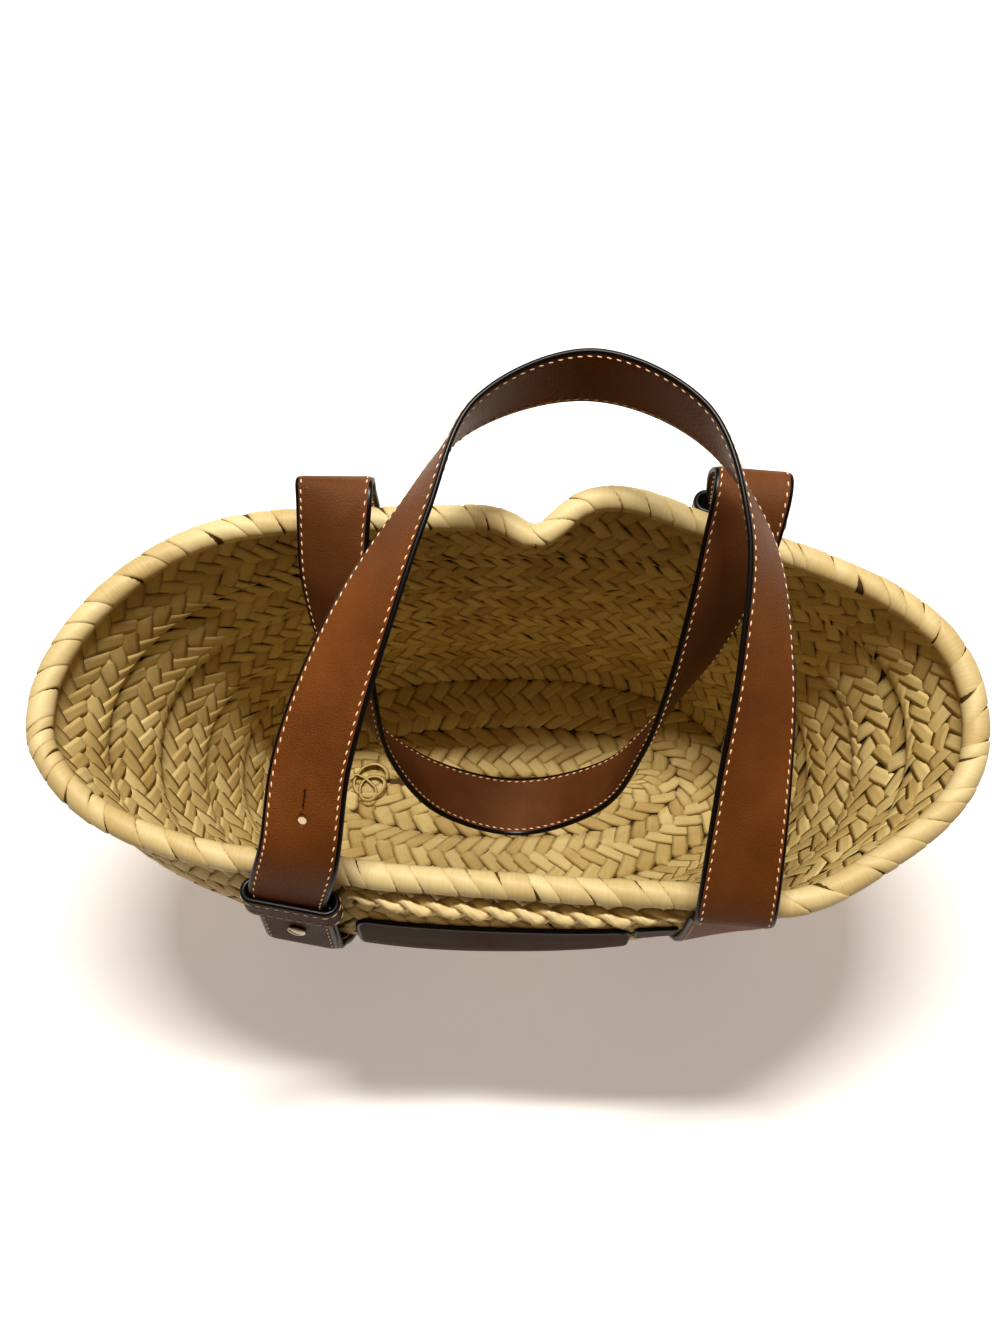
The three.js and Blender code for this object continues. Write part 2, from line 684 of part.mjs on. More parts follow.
// A thin leather sheet that follows the front wall, with its corners rounded
function wallSheet({ from, to, top, height, thickness, corner, columns, rows }) {
  const outer = [];
  const inner = [];
  for (let row = 0; row <= rows; row += 1) {
    const level = (row / rows) * height;
    const toEdge = Math.min(level, height - level);
    const short = Math.max(corner - toEdge, 0);
    const trim = corner - Math.sqrt(corner * corner - short * short);
    const outerRow = [];
    const innerRow = [];
    for (let column = 0; column <= columns; column += 1) {
      const x = THREE.MathUtils.lerp(from + trim, to - trim, column / columns);
      outerRow.push(seat(x, -1, top - level, wallGap + thickness).point);
      innerRow.push(seat(x, -1, top - level, wallGap).point);
    }
    outer.push(outerRow);
    inner.push(innerRow);
  }
  const loops = outer.map((outerRow, row) => [...outerRow, ...inner[row].slice().reverse()]);
  return solidFromRows(loops.reverse(), { rowsClose: false, endCaps: true });
}

function makePatch() {
  return wallSheet({
    from: patchAcross - patchLength / 2,
    to: patchAcross + patchLength / 2,
    top: patchTop,
    height: patchHeight,
    thickness: patchThickness,
    corner: patchCornerRadius,
    columns: 11,
    rows: 7,
  });
}

function makeTab() {
  return wallSheet({
    from: patchAcross + patchLength / 2 + tabClearance,
    to: legAcross - strapWidth / 2 - tabClearance,
    top: patchTop,
    height: tabHeight,
    thickness: tabThickness,
    corner: tabThickness,
    columns: 3,
    rows: 4,
  });
}

// The twisted rope lies in the corner under the rim roll, thinner at both ends
function makeRope() {
  const from = -claspAcross + keeperHalfWidth + fitGap;
  const to = legAcross - strapWidth / 2 - 3 * fitGap;
  const wall = rings.outer.slice(cornerSteps, -1);
  const topPair = [wall[wall.length - 2], wall[wall.length - 1]];
  const rows = [];
  for (let step = 0; step <= ropeSteps; step += 1) {
    const x = THREE.MathUtils.lerp(from, to, step / ropeSteps);
    const endward = Math.min(step, ropeSteps - step) / (ropeSteps * ropeTaperShare);
    const radius = (ropeDiameter / 2) * THREE.MathUtils.lerp(ropeEndShare, 1, Math.min(endward, 1));
    const low = crossing(topPair[0], x, -1);
    const high = crossing(topPair[1], x, -1);
    const up = wallTop - ropeDiameter / 2 - 2 * fitGap;
    const share = (up - low.up) / (high.up - low.up);
    const slope = Math.atan2(low.out - high.out, high.up - low.up);
    const out = THREE.MathUtils.lerp(low.out, high.out, share) + (radius + fitGap) / Math.cos(slope);
    rows.push(Array.from({ length: ropeSides }, (_, side) => {
      const turn = (side / ropeSides) * 2 * Math.PI;
      return new THREE.Vector3(x, -out + radius * Math.cos(turn), up + radius * Math.sin(turn));
    }));
  }
  return solidFromRows(rows, { rowsClose: false, endCaps: true });
}

const bag = new THREE.Group();

function addPiece(name, geometry, material) {
  const mesh = new THREE.Mesh(geometry, material);
  mesh.name = name;
  bag.add(mesh);
  return mesh;
}

addPiece('basket_shell', makeShell(), colours.straw);
addPiece('rim_binding', makeRim(), colours.rimStraw);
addPiece('front_rope', makeRope(), colours.rope);
addPiece('front_handle_strap', makeFrontHandle(), colours.frontStrap);
addPiece('back_handle_strap', makeBackHandle(), colours.backStrap);
addPiece('front_anchor_strap', makeAnchor(-claspAcross, -1, frontClasp), colours.anchor);
addPiece('back_anchor_strap', makeAnchor(backClaspAcross, 1, backClasp), colours.anchor);
const keeperLift = (anchorLift + tailLift) / 2;
placeAtClasp(addPiece('front_keeper', makeKeeper(), colours.keeper), frontClasp, keeperMiddle, keeperLift);
placeAtClasp(addPiece('back_keeper', makeKeeper(), colours.keeper), backClasp, keeperMiddle, keeperLift);
placeStud(addPiece('front_stud', makeStud(), colours.stud), frontClasp);
placeStud(addPiece('back_stud', makeStud(), colours.stud), backClasp);
addPiece('front_patch', makePatch(), colours.patch);
addPiece('strap_tab', makeTab(), colours.tab);

export default bag;
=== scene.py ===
import bpy
import math
import numpy as np
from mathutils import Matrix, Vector


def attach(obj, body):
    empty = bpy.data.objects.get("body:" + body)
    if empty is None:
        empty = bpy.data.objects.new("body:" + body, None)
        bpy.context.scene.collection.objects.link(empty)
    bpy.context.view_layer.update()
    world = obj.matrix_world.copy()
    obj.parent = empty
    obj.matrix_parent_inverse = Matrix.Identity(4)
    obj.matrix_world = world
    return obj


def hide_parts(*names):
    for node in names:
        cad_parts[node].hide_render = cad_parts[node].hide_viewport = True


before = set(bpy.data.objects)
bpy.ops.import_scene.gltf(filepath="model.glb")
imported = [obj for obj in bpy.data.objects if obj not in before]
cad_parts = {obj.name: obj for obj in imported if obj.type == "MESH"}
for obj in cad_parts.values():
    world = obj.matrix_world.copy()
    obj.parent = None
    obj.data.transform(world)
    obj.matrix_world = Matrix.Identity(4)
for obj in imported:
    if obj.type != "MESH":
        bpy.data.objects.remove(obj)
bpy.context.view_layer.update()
scene = bpy.context.scene

# Camera at the photograph's angle: high in front, looking 77 degrees down
camera = {
    "place": (-0.0037, -0.1134, 0.8130), "tilt": 13.0, "lens": 46.8, "sensor": 36.0,
    "near": 0.02, "far": 30.0,
}
cameraData = bpy.data.cameras.new("camera")
cameraData.lens = camera["lens"]
cameraData.sensor_width = camera["sensor"]
cameraData.sensor_fit = "HORIZONTAL"
cameraData.clip_start = camera["near"]
cameraData.clip_end = camera["far"]
cameraObject = bpy.data.objects.new("camera", cameraData)
cameraObject.location = camera["place"]
cameraObject.rotation_euler = (math.radians(camera["tilt"]), 0.0, 0.0)
scene.collection.objects.link(cameraObject)
scene.camera = cameraObject
print("stage: camera")


# Small helpers

def linear(hexColour):  # sRGB hex text to a linear colour with alpha
    parts = np.array([int(hexColour[place:place + 2], 16) for place in (1, 3, 5)]) / 255.0
    low, high = parts / 12.92, ((parts + 0.055) / 1.055) ** 2.4
    return tuple(np.where(parts <= 0.04045, low, high)) + (1.0,)


def lerp(a, b, share):  # a plus the share of the way from a to b
    return a + (b - a) * share


def lerpHex(first, second, share):  # hex colour part of the way from one to another, channel by channel
    parts = [round(lerp(int(first[k:k + 2], 16), int(second[k:k + 2], 16), share)) for k in (1, 3, 5)]
    return "#%02x%02x%02x" % tuple(parts)


def unit(vectors):  # each vector divided by its length
    return vectors / np.maximum(np.linalg.norm(vectors, axis=-1, keepdims=True), 1e-12)


def node(tree, kind, settings=None, **links):  # one node, its settings, and its inputs by name or number
    made = tree.nodes.new(kind)
    for name, value in (settings or {}).items():
        setattr(made, name, value)
    for name, value in links.items():
        byNumber = name[0] == "n" and name[1:].isdigit()
        socket = made.inputs[int(name[1:]) if byNumber else name.replace("_", " ")]
        if isinstance(value, bpy.types.NodeSocket):
            tree.links.new(value, socket)
        else:
            socket.default_value = value
    return made


flatNoise = {"noise_dimensions": "2D"}
multiplyAdd = {"operation": "MULTIPLY_ADD"}


def newMaterial(name, **fixed):  # material with the shader's fixed inputs set by name
    material = bpy.data.materials.new(name)
    material.use_nodes = True
    shader = material.node_tree.nodes["Principled BSDF"]
    for socket, value in fixed.items():
        shader.inputs[socket.replace("_", " ")].default_value = value
    return material, material.node_tree, shader


def ramp(tree, factor, stops):  # colour ramp from (share, hex) stops
    made = node(tree, "ShaderNodeValToRGB", Fac=factor)
    elements = made.color_ramp.elements
    while len(elements) < len(stops):
        elements.new(0.5)
    for element, (share, hexColour) in zip(elements, stops):
        element.position, element.color = share, linear(hexColour)
    return made.outputs["Color"]


def addMesh(name, points, faces, uv=None, tone=None, smooth=True, materials=(), slots=None):
    # points is N by 3 in millimetres, faces is a list of index arrays of one width each
    mesh = bpy.data.meshes.new(name)
    points = np.asarray(points, float).reshape(-1, 3) * 0.001
    counts = np.concatenate([np.full(len(block), block.shape[1]) for block in faces])
    loops = np.concatenate([block.ravel() for block in faces]).astype(np.int32)
    mesh.vertices.add(len(points))
    mesh.vertices.foreach_set("co", points.ravel())
    mesh.loops.add(len(loops))
    mesh.loops.foreach_set("vertex_index", loops)
    mesh.polygons.add(len(counts))
    mesh.polygons.foreach_set("loop_start", np.concatenate([[0], np.cumsum(counts)[:-1]]).astype(np.int32))
    mesh.polygons.foreach_set("use_smooth", np.full(len(counts), smooth))
    if slots is not None:
        mesh.polygons.foreach_set("material_index", np.asarray(slots, np.int32))
    if uv is not None:  # one pair of millimetres for each vertex
        layer = mesh.uv_layers.new(name="surface")
        layer.data.foreach_set("uv", np.asarray(uv, float).reshape(-1, 2)[loops].ravel())
    if tone is not None:  # one share from 0 to 1 for each vertex
        layer = mesh.attributes.new("tone", "FLOAT", "POINT")
        layer.data.foreach_set("value", np.asarray(tone, float).ravel())
    mesh.update(calc_edges=True)
    mesh.validate()
    made = bpy.data.objects.new(name, mesh)
    scene.collection.objects.link(made)
    for material in materials:
        mesh.materials.append(material)
    return made


def gridFaces(rows, columns, wrapRows=False, wrapColumns=False, flip=False):
    # quads between neighbouring rows and columns of a grid
    r = np.arange(rows if wrapRows else rows - 1)
    c = np.arange(columns if wrapColumns else columns - 1)
    r, c = np.meshgrid(r, c, indexing="ij")
    up, right = (r + 1) % rows, (c + 1) % columns
    quads = np.stack([r * columns + c, r * columns + right, up * columns + right, up * columns + c], -1)
    quads = quads.reshape(-1, 4)
    return quads[:, ::-1] if flip else quads


def tubeFaces(rows, columns, copies=1, flip=False):
    # closed tubes one after another: quads round the sides, then one face over each end
    ring = np.arange(columns)
    caps = np.stack([ring[::-1], ring + (rows - 1) * columns])
    caps = caps[:, ::-1] if flip else caps
    sides = gridFaces(rows, columns, wrapColumns=True, flip=flip)
    shift = (np.arange(copies) * rows * columns)[:, None, None]
    return [(sides[None] + shift).reshape(-1, 4), (caps[None] + shift).reshape(-1, columns)]


def hermite(rows, name, level):
    # smooth curve through a table's column, with each slope taken from the rows on both sides
    heights = np.array([row["height"] for row in rows])
    values = np.array([row[name] for row in rows])
    last = len(rows) - 1
    here = np.clip(np.searchsorted(heights, level, side="left") - 1, 0, last - 1)
    before, after = np.maximum(here - 1, 0), np.minimum(here + 2, last)
    span = heights[here + 1] - heights[here]
    share = (level - heights[here]) / span
    slopeHere = (values[here + 1] - values[before]) / (heights[here + 1] - heights[before])
    slopeNext = (values[after] - values[here]) / (heights[after] - heights[here])
    square, cube = share ** 2, share ** 3
    return ((2 * cube - 3 * square + 1) * values[here] + (cube - 2 * square + share) * span * slopeHere
            + (3 * square - 2 * cube) * values[here + 1] + (cube - square) * span * slopeNext)


# The basket's form in millimetres, with the same sizes as the solids
basket = {
    "height": 225.0, "rimLength": 448.0, "rimWidth": 208.0, "baseLength": 300.0, "baseWidth": 156.0,
    "cornerRadius": 14.0, "wall": 2.6, "ripple": 0.5, "roll": 13.0, "fit": 0.3, "wallGap": 0.9,
    "ovalPower": 2.3, "dentPower": 1.7, "sideBlend": 4.0, "ringStep": 0.5 / 68, "readPlaces": 361,
}
wallShape = [
    {"height": 0.0, "ends": 0.0, "front": 0.0, "back": 0.0},
    {"height": 0.15, "ends": 0.12, "front": 0.26, "back": 0.16},
    {"height": 0.3, "ends": 0.26, "front": 0.58, "back": 0.32},
    {"height": 0.5, "ends": 0.45, "front": 0.97, "back": 0.54},
    {"height": 0.7, "ends": 0.66, "front": 1.22, "back": 0.75},
    {"height": 0.85, "ends": 0.83, "front": 1.27, "back": 0.89},
    {"height": 1.0, "ends": 1.0, "front": 1.0, "back": 1.0},
]
rimDents = [  # place round the rim, spread, push out, lift, and the height share where the dent starts
    (0.695, 0.17, -0.21, 0.0, 0.65),
    (0.662, 0.018, -0.03, 0.0, 0.75),
    (0.875, 0.035, 0.09, 0.0, 0.6),
    (0.39, 0.06, 0.1, 0.0, 0.6),
    (0.095, 0.05, -0.03, 0.0, 0.6),
    (0.199, 0.034, 0.1, 0.03, 0.7),
    (0.236, 0.014, -0.12, -0.01, 0.8),
]
rollRadius = basket["roll"] / 2
rollHeight = basket["height"] - rollRadius
wallTop = basket["height"] - basket["roll"] - basket["fit"]
cornerShare = basket["cornerRadius"] / wallTop


def superOval(angle, halfLength, halfFront, halfBack):
    # oval |x|^p + |y|^p = 1 whose front and back halves may differ
    c, s = np.cos(angle), np.sin(angle)
    power = 2 / basket["ovalPower"]
    x = halfLength * np.sign(c) * np.abs(c) ** power
    y = np.where(s < 0, halfFront, halfBack) * np.sign(s) * np.abs(s) ** power
    return x, y


# length round the rim against angle, read every quarter of a degree
fineAngles = np.linspace(0, 2 * np.pi, 4 * 360 + 1)
fineX, fineY = superOval(fineAngles, basket["rimLength"] / 2, basket["rimWidth"] / 2, basket["rimWidth"] / 2)
fineLengths = np.concatenate([[0], np.cumsum(np.hypot(np.diff(fineX), np.diff(fineY)))])
rimAround = fineLengths[-1]  # length round the rim


def wallMiddle(around, level, inset=0.0):
    # middle of the wall at a share round the rim and a height share, drawn in by an inset;
    # dents grow near the rim: depth power times exp(-(distance / spread)^2)
    around, level, inset = np.broadcast_arrays(np.asarray(around, float), level, inset)
    angle = np.interp(around % 1.0, fineLengths / rimAround, fineAngles)
    rimHalf = basket["rimWidth"] / 2 - rollRadius
    rimReach = basket["rimLength"] / 2 - rollRadius
    halfLength = lerp(basket["baseLength"] / 2, rimReach, hermite(wallShape, "ends", level))
    halfFront = lerp(basket["baseWidth"] / 2, rimHalf, hermite(wallShape, "front", level))
    halfBack = lerp(basket["baseWidth"] / 2, rimHalf, hermite(wallShape, "back", level))
    halfFront, halfBack = np.maximum(halfFront - inset, 0), np.maximum(halfBack - inset, 0)
    x, y = superOval(angle, halfLength - inset, halfFront, halfBack)
    side = np.clip(np.sin(angle) * basket["sideBlend"], -1, 1)  # a dent fades where front and back meet
    z = level * wallTop
    for place, spread, push, lift, start in rimDents:
        away = around - place
        away = away - np.round(away)
        depth = np.clip((level - start) / (1 - start), 0, 1) ** basket["dentPower"]
        strength = depth * np.exp(-((away / spread) ** 2)) * (basket["rimWidth"] / 2)
        y = y + side * push * strength
        z = z + lift * strength
    return np.stack([x, y, z], -1)


def outwardFlat(around, level):  # level direction away from the basket, square to the ring
    step = basket["ringStep"]
    run = wallMiddle(around + step, level) - wallMiddle(around - step, level)
    return unit(np.stack([run[..., 1], -run[..., 0], np.zeros_like(run[..., 0])], -1))


# The sheet coordinate v runs in millimetres from the base's middle line (0) over the corner and up the wall
sheet = {"baseReach": 64.0, "cornerRun": 20.0, "aroundStep": 0.0015, "upStep": 0.8, "lowest": 0.3}
sheet["wallStart"] = sheet["baseReach"] + sheet["cornerRun"]
sheet["top"] = sheet["wallStart"] + wallTop - basket["cornerRadius"]


def sheetMiddle(around, v):
    # base: the oval shrinks evenly to a line; corner: a quarter circle; wall: the height share grows evenly
    around, v = np.broadcast_arrays(np.asarray(around, float), v)
    onBase = v < sheet["baseReach"]
    turn = np.clip((v - sheet["baseReach"]) / sheet["cornerRun"], 0, 1) * np.pi / 2
    level = cornerShare + np.clip(v - sheet["wallStart"], 0, None) / wallTop
    radius = basket["cornerRadius"]
    half = basket["wall"] / 2
    inset = np.where(onBase, radius + sheet["baseReach"] - v, radius * (1 - np.sin(turn)))
    points = wallMiddle(around, level, inset)
    low = np.where(v < sheet["wallStart"], half + (radius - half) * (1 - np.cos(turn)), points[..., 2])
    points[..., 2] = low
    return points


def sheetNormal(around, v):  # direction into the basket: along the ring crossed with up the sheet
    aroundStep, upStep = sheet["aroundStep"], sheet["upStep"]
    run = sheetMiddle(around + aroundStep, v) - sheetMiddle(around - aroundStep, v)
    above = sheetMiddle(around, np.minimum(v + upStep, sheet["top"]))
    below = sheetMiddle(around, np.maximum(v - upStep, sheet["lowest"]))
    return -unit(np.cross(run, above - below))


# Plaited strips: each strip swells towards its lower edge and drops into a groove at the seam
plait = {
    "strips": 5, "rowsPerStrip": 4, "baseStrips": 2, "baseRows": 3, "firstSeam": 1.2, "fewest": 12,
    "swell": 3.6, "seamDepth": 0.4, "riseShare": 0.055, "peakShare": 0.16, "fallShare": 0.62,
    "sideSwell": 0.8, "endSwell": 0.55, "baseSwell": 0.35, "baseGrowth": 0.9, "outsideSwell": 0.35,
}
leaf = {  # sizes in millimetres; over and stretch are factors of a leaf's length
    "pitch": 9.8, "basePitch": 10.4, "gap": -1.3, "over": 1.2, "stretch": 1.02, "taper": 0.06, "lift": 0.95,
    "dome": 0.38, "tuck": 0.55, "crown": 0.16, "shingle": 0.24, "under": 0.75,
    "belowSeam": 0.2, "aboveSeam": 0.9, "lowestPlace": 0.6, "lowestHeight": 0.15, "seed": 7, "shapeSeed": 21,
}
# how far leaves stray: around in pitches, length and width as shares, slants in radians, the rest in mm
stray = {
    "around": 0.05, "up": 0.35, "length": 0.04, "width": 0.05, "slant": 0.06, "endSlant": 0.16,
    "bow": 0.3, "fold": 0.10, "roll": 0.07, "tilt": 0.09, "grain": 400,
}
looseEnd = {"place": -0.03, "spread": 0.11, "from": 90, "run": 120}
stripHeight = (sheet["top"] - sheet["baseReach"]) / plait["strips"]
seams = np.concatenate([
    np.linspace(plait["firstSeam"], sheet["baseReach"], plait["baseStrips"] + 1)[:-1],
    sheet["baseReach"] + stripHeight * np.arange(plait["strips"] + 1)])


def stripShare(v):  # how far up its own strip a place is, 0 at the lower seam and 1 at the upper
    strip = np.clip(np.searchsorted(seams, v, side="right") - 1, 0, len(seams) - 2)
    return np.clip((v - seams[strip]) / (seams[strip + 1] - seams[strip]), 0, 1)


def stripSwell(around, v):
    # quick rise from the seam, highest low down, then a long fall; strongest at both ends, faint on the base
    share = stripShare(v)
    rise = 1 - np.exp(-share / plait["riseShare"])
    fall = np.exp(-((share - plait["peakShare"]) / plait["fallShare"]) ** 2)
    strength = plait["sideSwell"] + plait["endSwell"] * np.cos(2 * np.pi * around) ** 4
    strength = strength * np.clip(v / sheet["baseReach"] * plait["baseGrowth"], plait["baseSwell"], 1)
    return plait["swell"] * strength * rise * fall - plait["seamDepth"] * (1 - rise)


def aroundLength(v):  # length round the sheet at one v
    ring = sheetMiddle(np.linspace(0, 1, basket["readPlaces"]), v)
    return np.linalg.norm(np.diff(ring, axis=0), axis=1).sum()


def looseness(place, v):  # how far leaves stray from their slant: more near the rim at the right end
    away = place - looseEnd["place"]
    away = away - np.round(away)
    near = np.exp(-(away / looseEnd["spread"]) ** 2) * np.clip((v - looseEnd["from"]) / looseEnd["run"], 0, 1)
    return stray["slant"] + stray["endSlant"] * near


def plaitFloats(seed):
    # one leaf float for each crossing: centre, slant, size and tone; rows lean to and fro, half a pitch apart
    rng = np.random.default_rng(seed)
    made = []
    for strip in range(len(seams) - 1):
        low, high = seams[strip], seams[strip + 1]
        onBase = strip < plait["baseStrips"]
        rows = plait["baseRows"] if onBase else plait["rowsPerStrip"]
        rowHeight = (high - low) / rows
        length = aroundLength((low + high) / 2)
        count = max(int(round(length / leaf["basePitch" if onBase else "pitch"])), plait["fewest"])
        phase = rng.random()
        for row in range(rows):
            v = low + (row + 0.5) * rowHeight
            lengthHere = aroundLength(v)
            pitch = lengthHere / count
            steep = math.atan2(rowHeight, pitch)
            lean = 1.0 if (row + strip) % 2 == 0 else -1.0
            place = (np.arange(count) + phase + 0.5 * (row % 2)) / count
            made.append(np.stack([
                place + rng.normal(0, stray["around"], count) / count,
                v + rng.normal(0, stray["up"], count),
                np.full(count, lean * steep) + rng.normal(0, 1, count) * looseness(place, v),
                np.hypot(rowHeight, pitch) * leaf["stretch"] * (1 + rng.normal(0, stray["length"], count)),
                pitch * math.sin(steep) * (1 + rng.normal(0, stray["width"], count)),
                np.full(count, 1.0 / lengthHere),
                rng.random(count),
                np.full(count, low - leaf["belowSeam"]),
                np.full(count, high + leaf["aboveSeam"]),
            ], -1))
    return np.concatenate(made)


def floatMesh(name, floats, facing, materials, seed):
    # leaf float: a flat strip bent over its neighbours and closed below,
    # height = lift + dome (1 - s^4) - tuck s^2 + crown (1 - t^2) + shingle t, with s along it and t across it
    rng = np.random.default_rng(seed)
    s = np.array([-1, -0.62, 0, 0.62, 1])[None, :, None]
    t = np.array([-1, -0.4, 0.4, 1, 0.8, -0.8])[None, None, :]
    drop = leaf["under"] * np.array([0, 0, 0, 0, 1, 1])[None, None, :]  # the last two run along the underside
    centreA, centreV, slant, length, width, perMm, tone, lowV, highV = floats.T[:, :, None, None]
    each = centreA.shape
    bow = rng.normal(0, stray["bow"], each)
    x = s * length / 2 * leaf["over"]
    y = t * (width - leaf["gap"]) / 2 * (1 - leaf["taper"] * s ** 4) + bow * (1 - s ** 2)
    a = centreA + (x * np.cos(slant) - y * np.sin(slant)) * perMm
    v = np.clip(centreV + x * np.sin(slant) + y * np.cos(slant), np.maximum(lowV, leaf["lowestPlace"]), highV)
    fold = rng.normal(0, stray["fold"], each) * np.sign(t) * (1 - t ** 2)
    fold = fold + rng.normal(0, stray["roll"], each) * t
    tilt = rng.normal(0, stray["tilt"], each) * s
    height = leaf["lift"] + leaf["dome"] * (1 - s ** 4) - leaf["tuck"] * s ** 2 + leaf["crown"] * (1 - t ** 2)
    height = height + leaf["shingle"] * t * np.sign(np.cos(slant) * np.sin(slant)) + fold + tilt - drop
    height = height + stripSwell(a, v) * (1 if facing > 0 else plait["outsideSwell"])
    level = np.minimum(v, sheet["top"])
    points = sheetMiddle(a, level) + facing * sheetNormal(a, level) * height[..., None]
    points[..., 2] += np.maximum(v - sheet["top"], 0)
    points[..., 2] = np.maximum(points[..., 2], leaf["lowestHeight"])
    offsetU = rng.random(each) * stray["grain"]
    offsetV = rng.random(each) * stray["grain"]
    uv = np.stack(np.broadcast_arrays(y + offsetU, x + offsetV), -1)
    tones = np.broadcast_to(tone, points.shape[:3])
    faces = tubeFaces(s.size, t.size, len(floats), flip=facing > 0)
    return addMesh(name, points, faces, uv=uv, tone=tones, materials=materials)


# Straw: the darkest, the middle, the light and the odd greenish leaf of each finish
strawLook = {
    "inside": ("#7a6130", "#ac915a", "#d6c48e", "#c4b26c"),
    "outside": ("#6f5829", "#a3884f", "#cdb980", "#b4a05a"),
    "wrap": ("#93794a", "#bca674", "#d9c99c", "#c8b780"),
    # rope: paler than the plait, painted light on the rope that lies in the rim's shadow
    "rope": ("#a08650", "#cdb580", "#e8d8ac", "#d6c288"),
    # under: painted shade, a dark straw for the wall and the roll's bed that shows in the gaps between leaves
    # and wraps
    "under": "#4f3a14",
}


def strawMaterial(name, colours, fibre=1.4, roughness=0.62, bump=0.25):
    # dried palm leaf: flat matte strips with fine ribs along them, about fibre of them for each millimetre,
    # with a faint wax sheen, slow spots of colour, and each leaf its own tone
    dark, mid, light, odd = colours
    material, tree, shader = newMaterial(name, Roughness=roughness, IOR=1.45, Specular_IOR_Level=0.35)
    uv = node(tree, "ShaderNodeUVMap", {"uv_map": "surface"}).outputs["UV"]
    drawn = node(tree, "ShaderNodeMapping", Vector=uv, Scale=(fibre, fibre * 0.06, 1.0)).outputs["Vector"]
    ribs = node(tree, "ShaderNodeTexNoise", flatNoise, Vector=drawn, Scale=1.0, Detail=3.0, Roughness=0.65)
    spots = node(tree, "ShaderNodeTexNoise", flatNoise, Vector=uv, Scale=0.12, Detail=2.0).outputs["Fac"]
    tone = node(tree, "ShaderNodeAttribute", {"attribute_name": "tone"}).outputs["Fac"]
    ribTone = node(tree, "ShaderNodeMath", multiplyAdd, n0=ribs.outputs["Fac"], n1=0.75, n2=tone).outputs[0]
    allTone = node(tree, "ShaderNodeMath", multiplyAdd, n0=spots, n1=0.55, n2=ribTone).outputs[0]
    share = node(tree, "ShaderNodeMapRange", n0=allTone, n1=0.3, n2=1.95, n3=0.26, n4=0.84).outputs[0]
    stops = [(0.0, dark), (0.30, mid), (0.55, lerpHex(mid, light, 0.6)), (0.78, light), (0.95, odd)]
    tree.links.new(ramp(tree, share, stops), shader.inputs["Base Color"])
    raised = node(tree, "ShaderNodeBump", Strength=bump, Distance=0.0006, Height=ribs.outputs["Fac"])
    tree.links.new(raised.outputs["Normal"], shader.inputs["Normal"])
    return material


strawInside = strawMaterial("plaitedPalmLeaf", strawLook["inside"])
strawOutside = strawMaterial("plaitedPalmLeafOutside", strawLook["outside"])
strawWrap = strawMaterial("wrappedPalmLeaf", strawLook["wrap"], fibre=1.0, roughness=0.5)
strawRope = strawMaterial("twistedPalmLeaf", strawLook["rope"], fibre=1.8, bump=0.5)
strawUnderShade = newMaterial("leafShade", Base_Color=linear(strawLook["under"]), Roughness=0.8, IOR=1.45)[0]
print("stage: straw materials")

# The wall under the leaves: one closed sheet, inside surface, over the top edge and down the outside
core = {
    "around": 220, "rows": 150, "start": 1.0, "inside": 0.35, "outside": 0.6, "outsideSwell": 0.3,
    "reach": 2.0, "lowestHeight": 0.05,
}
ringShares = np.arange(core["around"]) / core["around"]
gridA, gridV = np.meshgrid(ringShares, np.linspace(core["start"], sheet["top"], core["rows"]))
middle, normals = sheetMiddle(gridA, gridV), sheetNormal(gridA, gridV)
# the lowest swell within reach, so that the wall is never above the leaves
swells = [stripSwell(gridA, gridV + share * core["reach"]) for share in (-1.0, -0.5, 0.0, 0.5, 1.0)]
swells = np.min(swells, 0)[..., None]
insidePoints = middle + normals * (core["inside"] + swells)
outsidePoints = middle - normals * (core["outside"] + core["outsideSwell"] * np.maximum(swells, 0))
outsidePoints[..., 2] = np.maximum(outsidePoints[..., 2], core["lowestHeight"])
coreRows = np.concatenate([insidePoints, outsidePoints[::-1]])
coreFaces = tubeFaces(len(coreRows), core["around"], flip=True)
basketCore = addMesh("basketCore", coreRows, coreFaces, materials=[strawUnderShade])
insideFloats, outsideFloats = plaitFloats(leaf["seed"]), plaitFloats(leaf["seed"] + 1)
basketInside = floatMesh("plaitInside", insideFloats, 1, [strawInside], leaf["shapeSeed"])
basketOutside = floatMesh("plaitOutside", outsideFloats, -1, [strawOutside], leaf["shapeSeed"] + 1)
for piece in (basketCore, basketInside, basketOutside):
    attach(piece, "root")
    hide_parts("basket_shell")
print("stage: plaited wall and base")


# Rim binding: leaf wraps round the roll, each a closed band that laps over the next
wraps = {
    "width": 13.0, "spread": 0.33, "narrowest": 0.55, "widest": 1.6, "slant": 4.5, "lap": 0.3, "thick": 0.62,
    "stray": 0.25, "wobble": 0.6, "puff": 0.09, "crease": 0.12, "sunk": 0.6, "grain": 300,
    "section": 26, "seed": 11,
}
# share across the wrap, and height in thicknesses: rises quickly and is fullest near the far edge
wrapProfile = np.array([
    [-0.04, -1.0], [0.02, -0.2], [0.08, 0.42], [0.5, 0.62], [0.88, 0.66], [0.97, 0.3], [1.0, -1.0],
    [0.5, -1.1],
])
rimBed = {"around": 240, "sides": 12, "sunk": 0.75}


def rimPoint(around, turn, radius):
    # place on the roll: the ring's middle moved out by radius sin(turn) and down by radius cos(turn)
    ring = wallMiddle(around, 1.0)
    ring[..., 2] += rollHeight - wallTop
    out = outwardFlat(around, np.ones_like(around))
    moved = ring + out * (radius * np.sin(turn))[..., None]
    moved[..., 2] -= radius * np.cos(turn)
    return moved


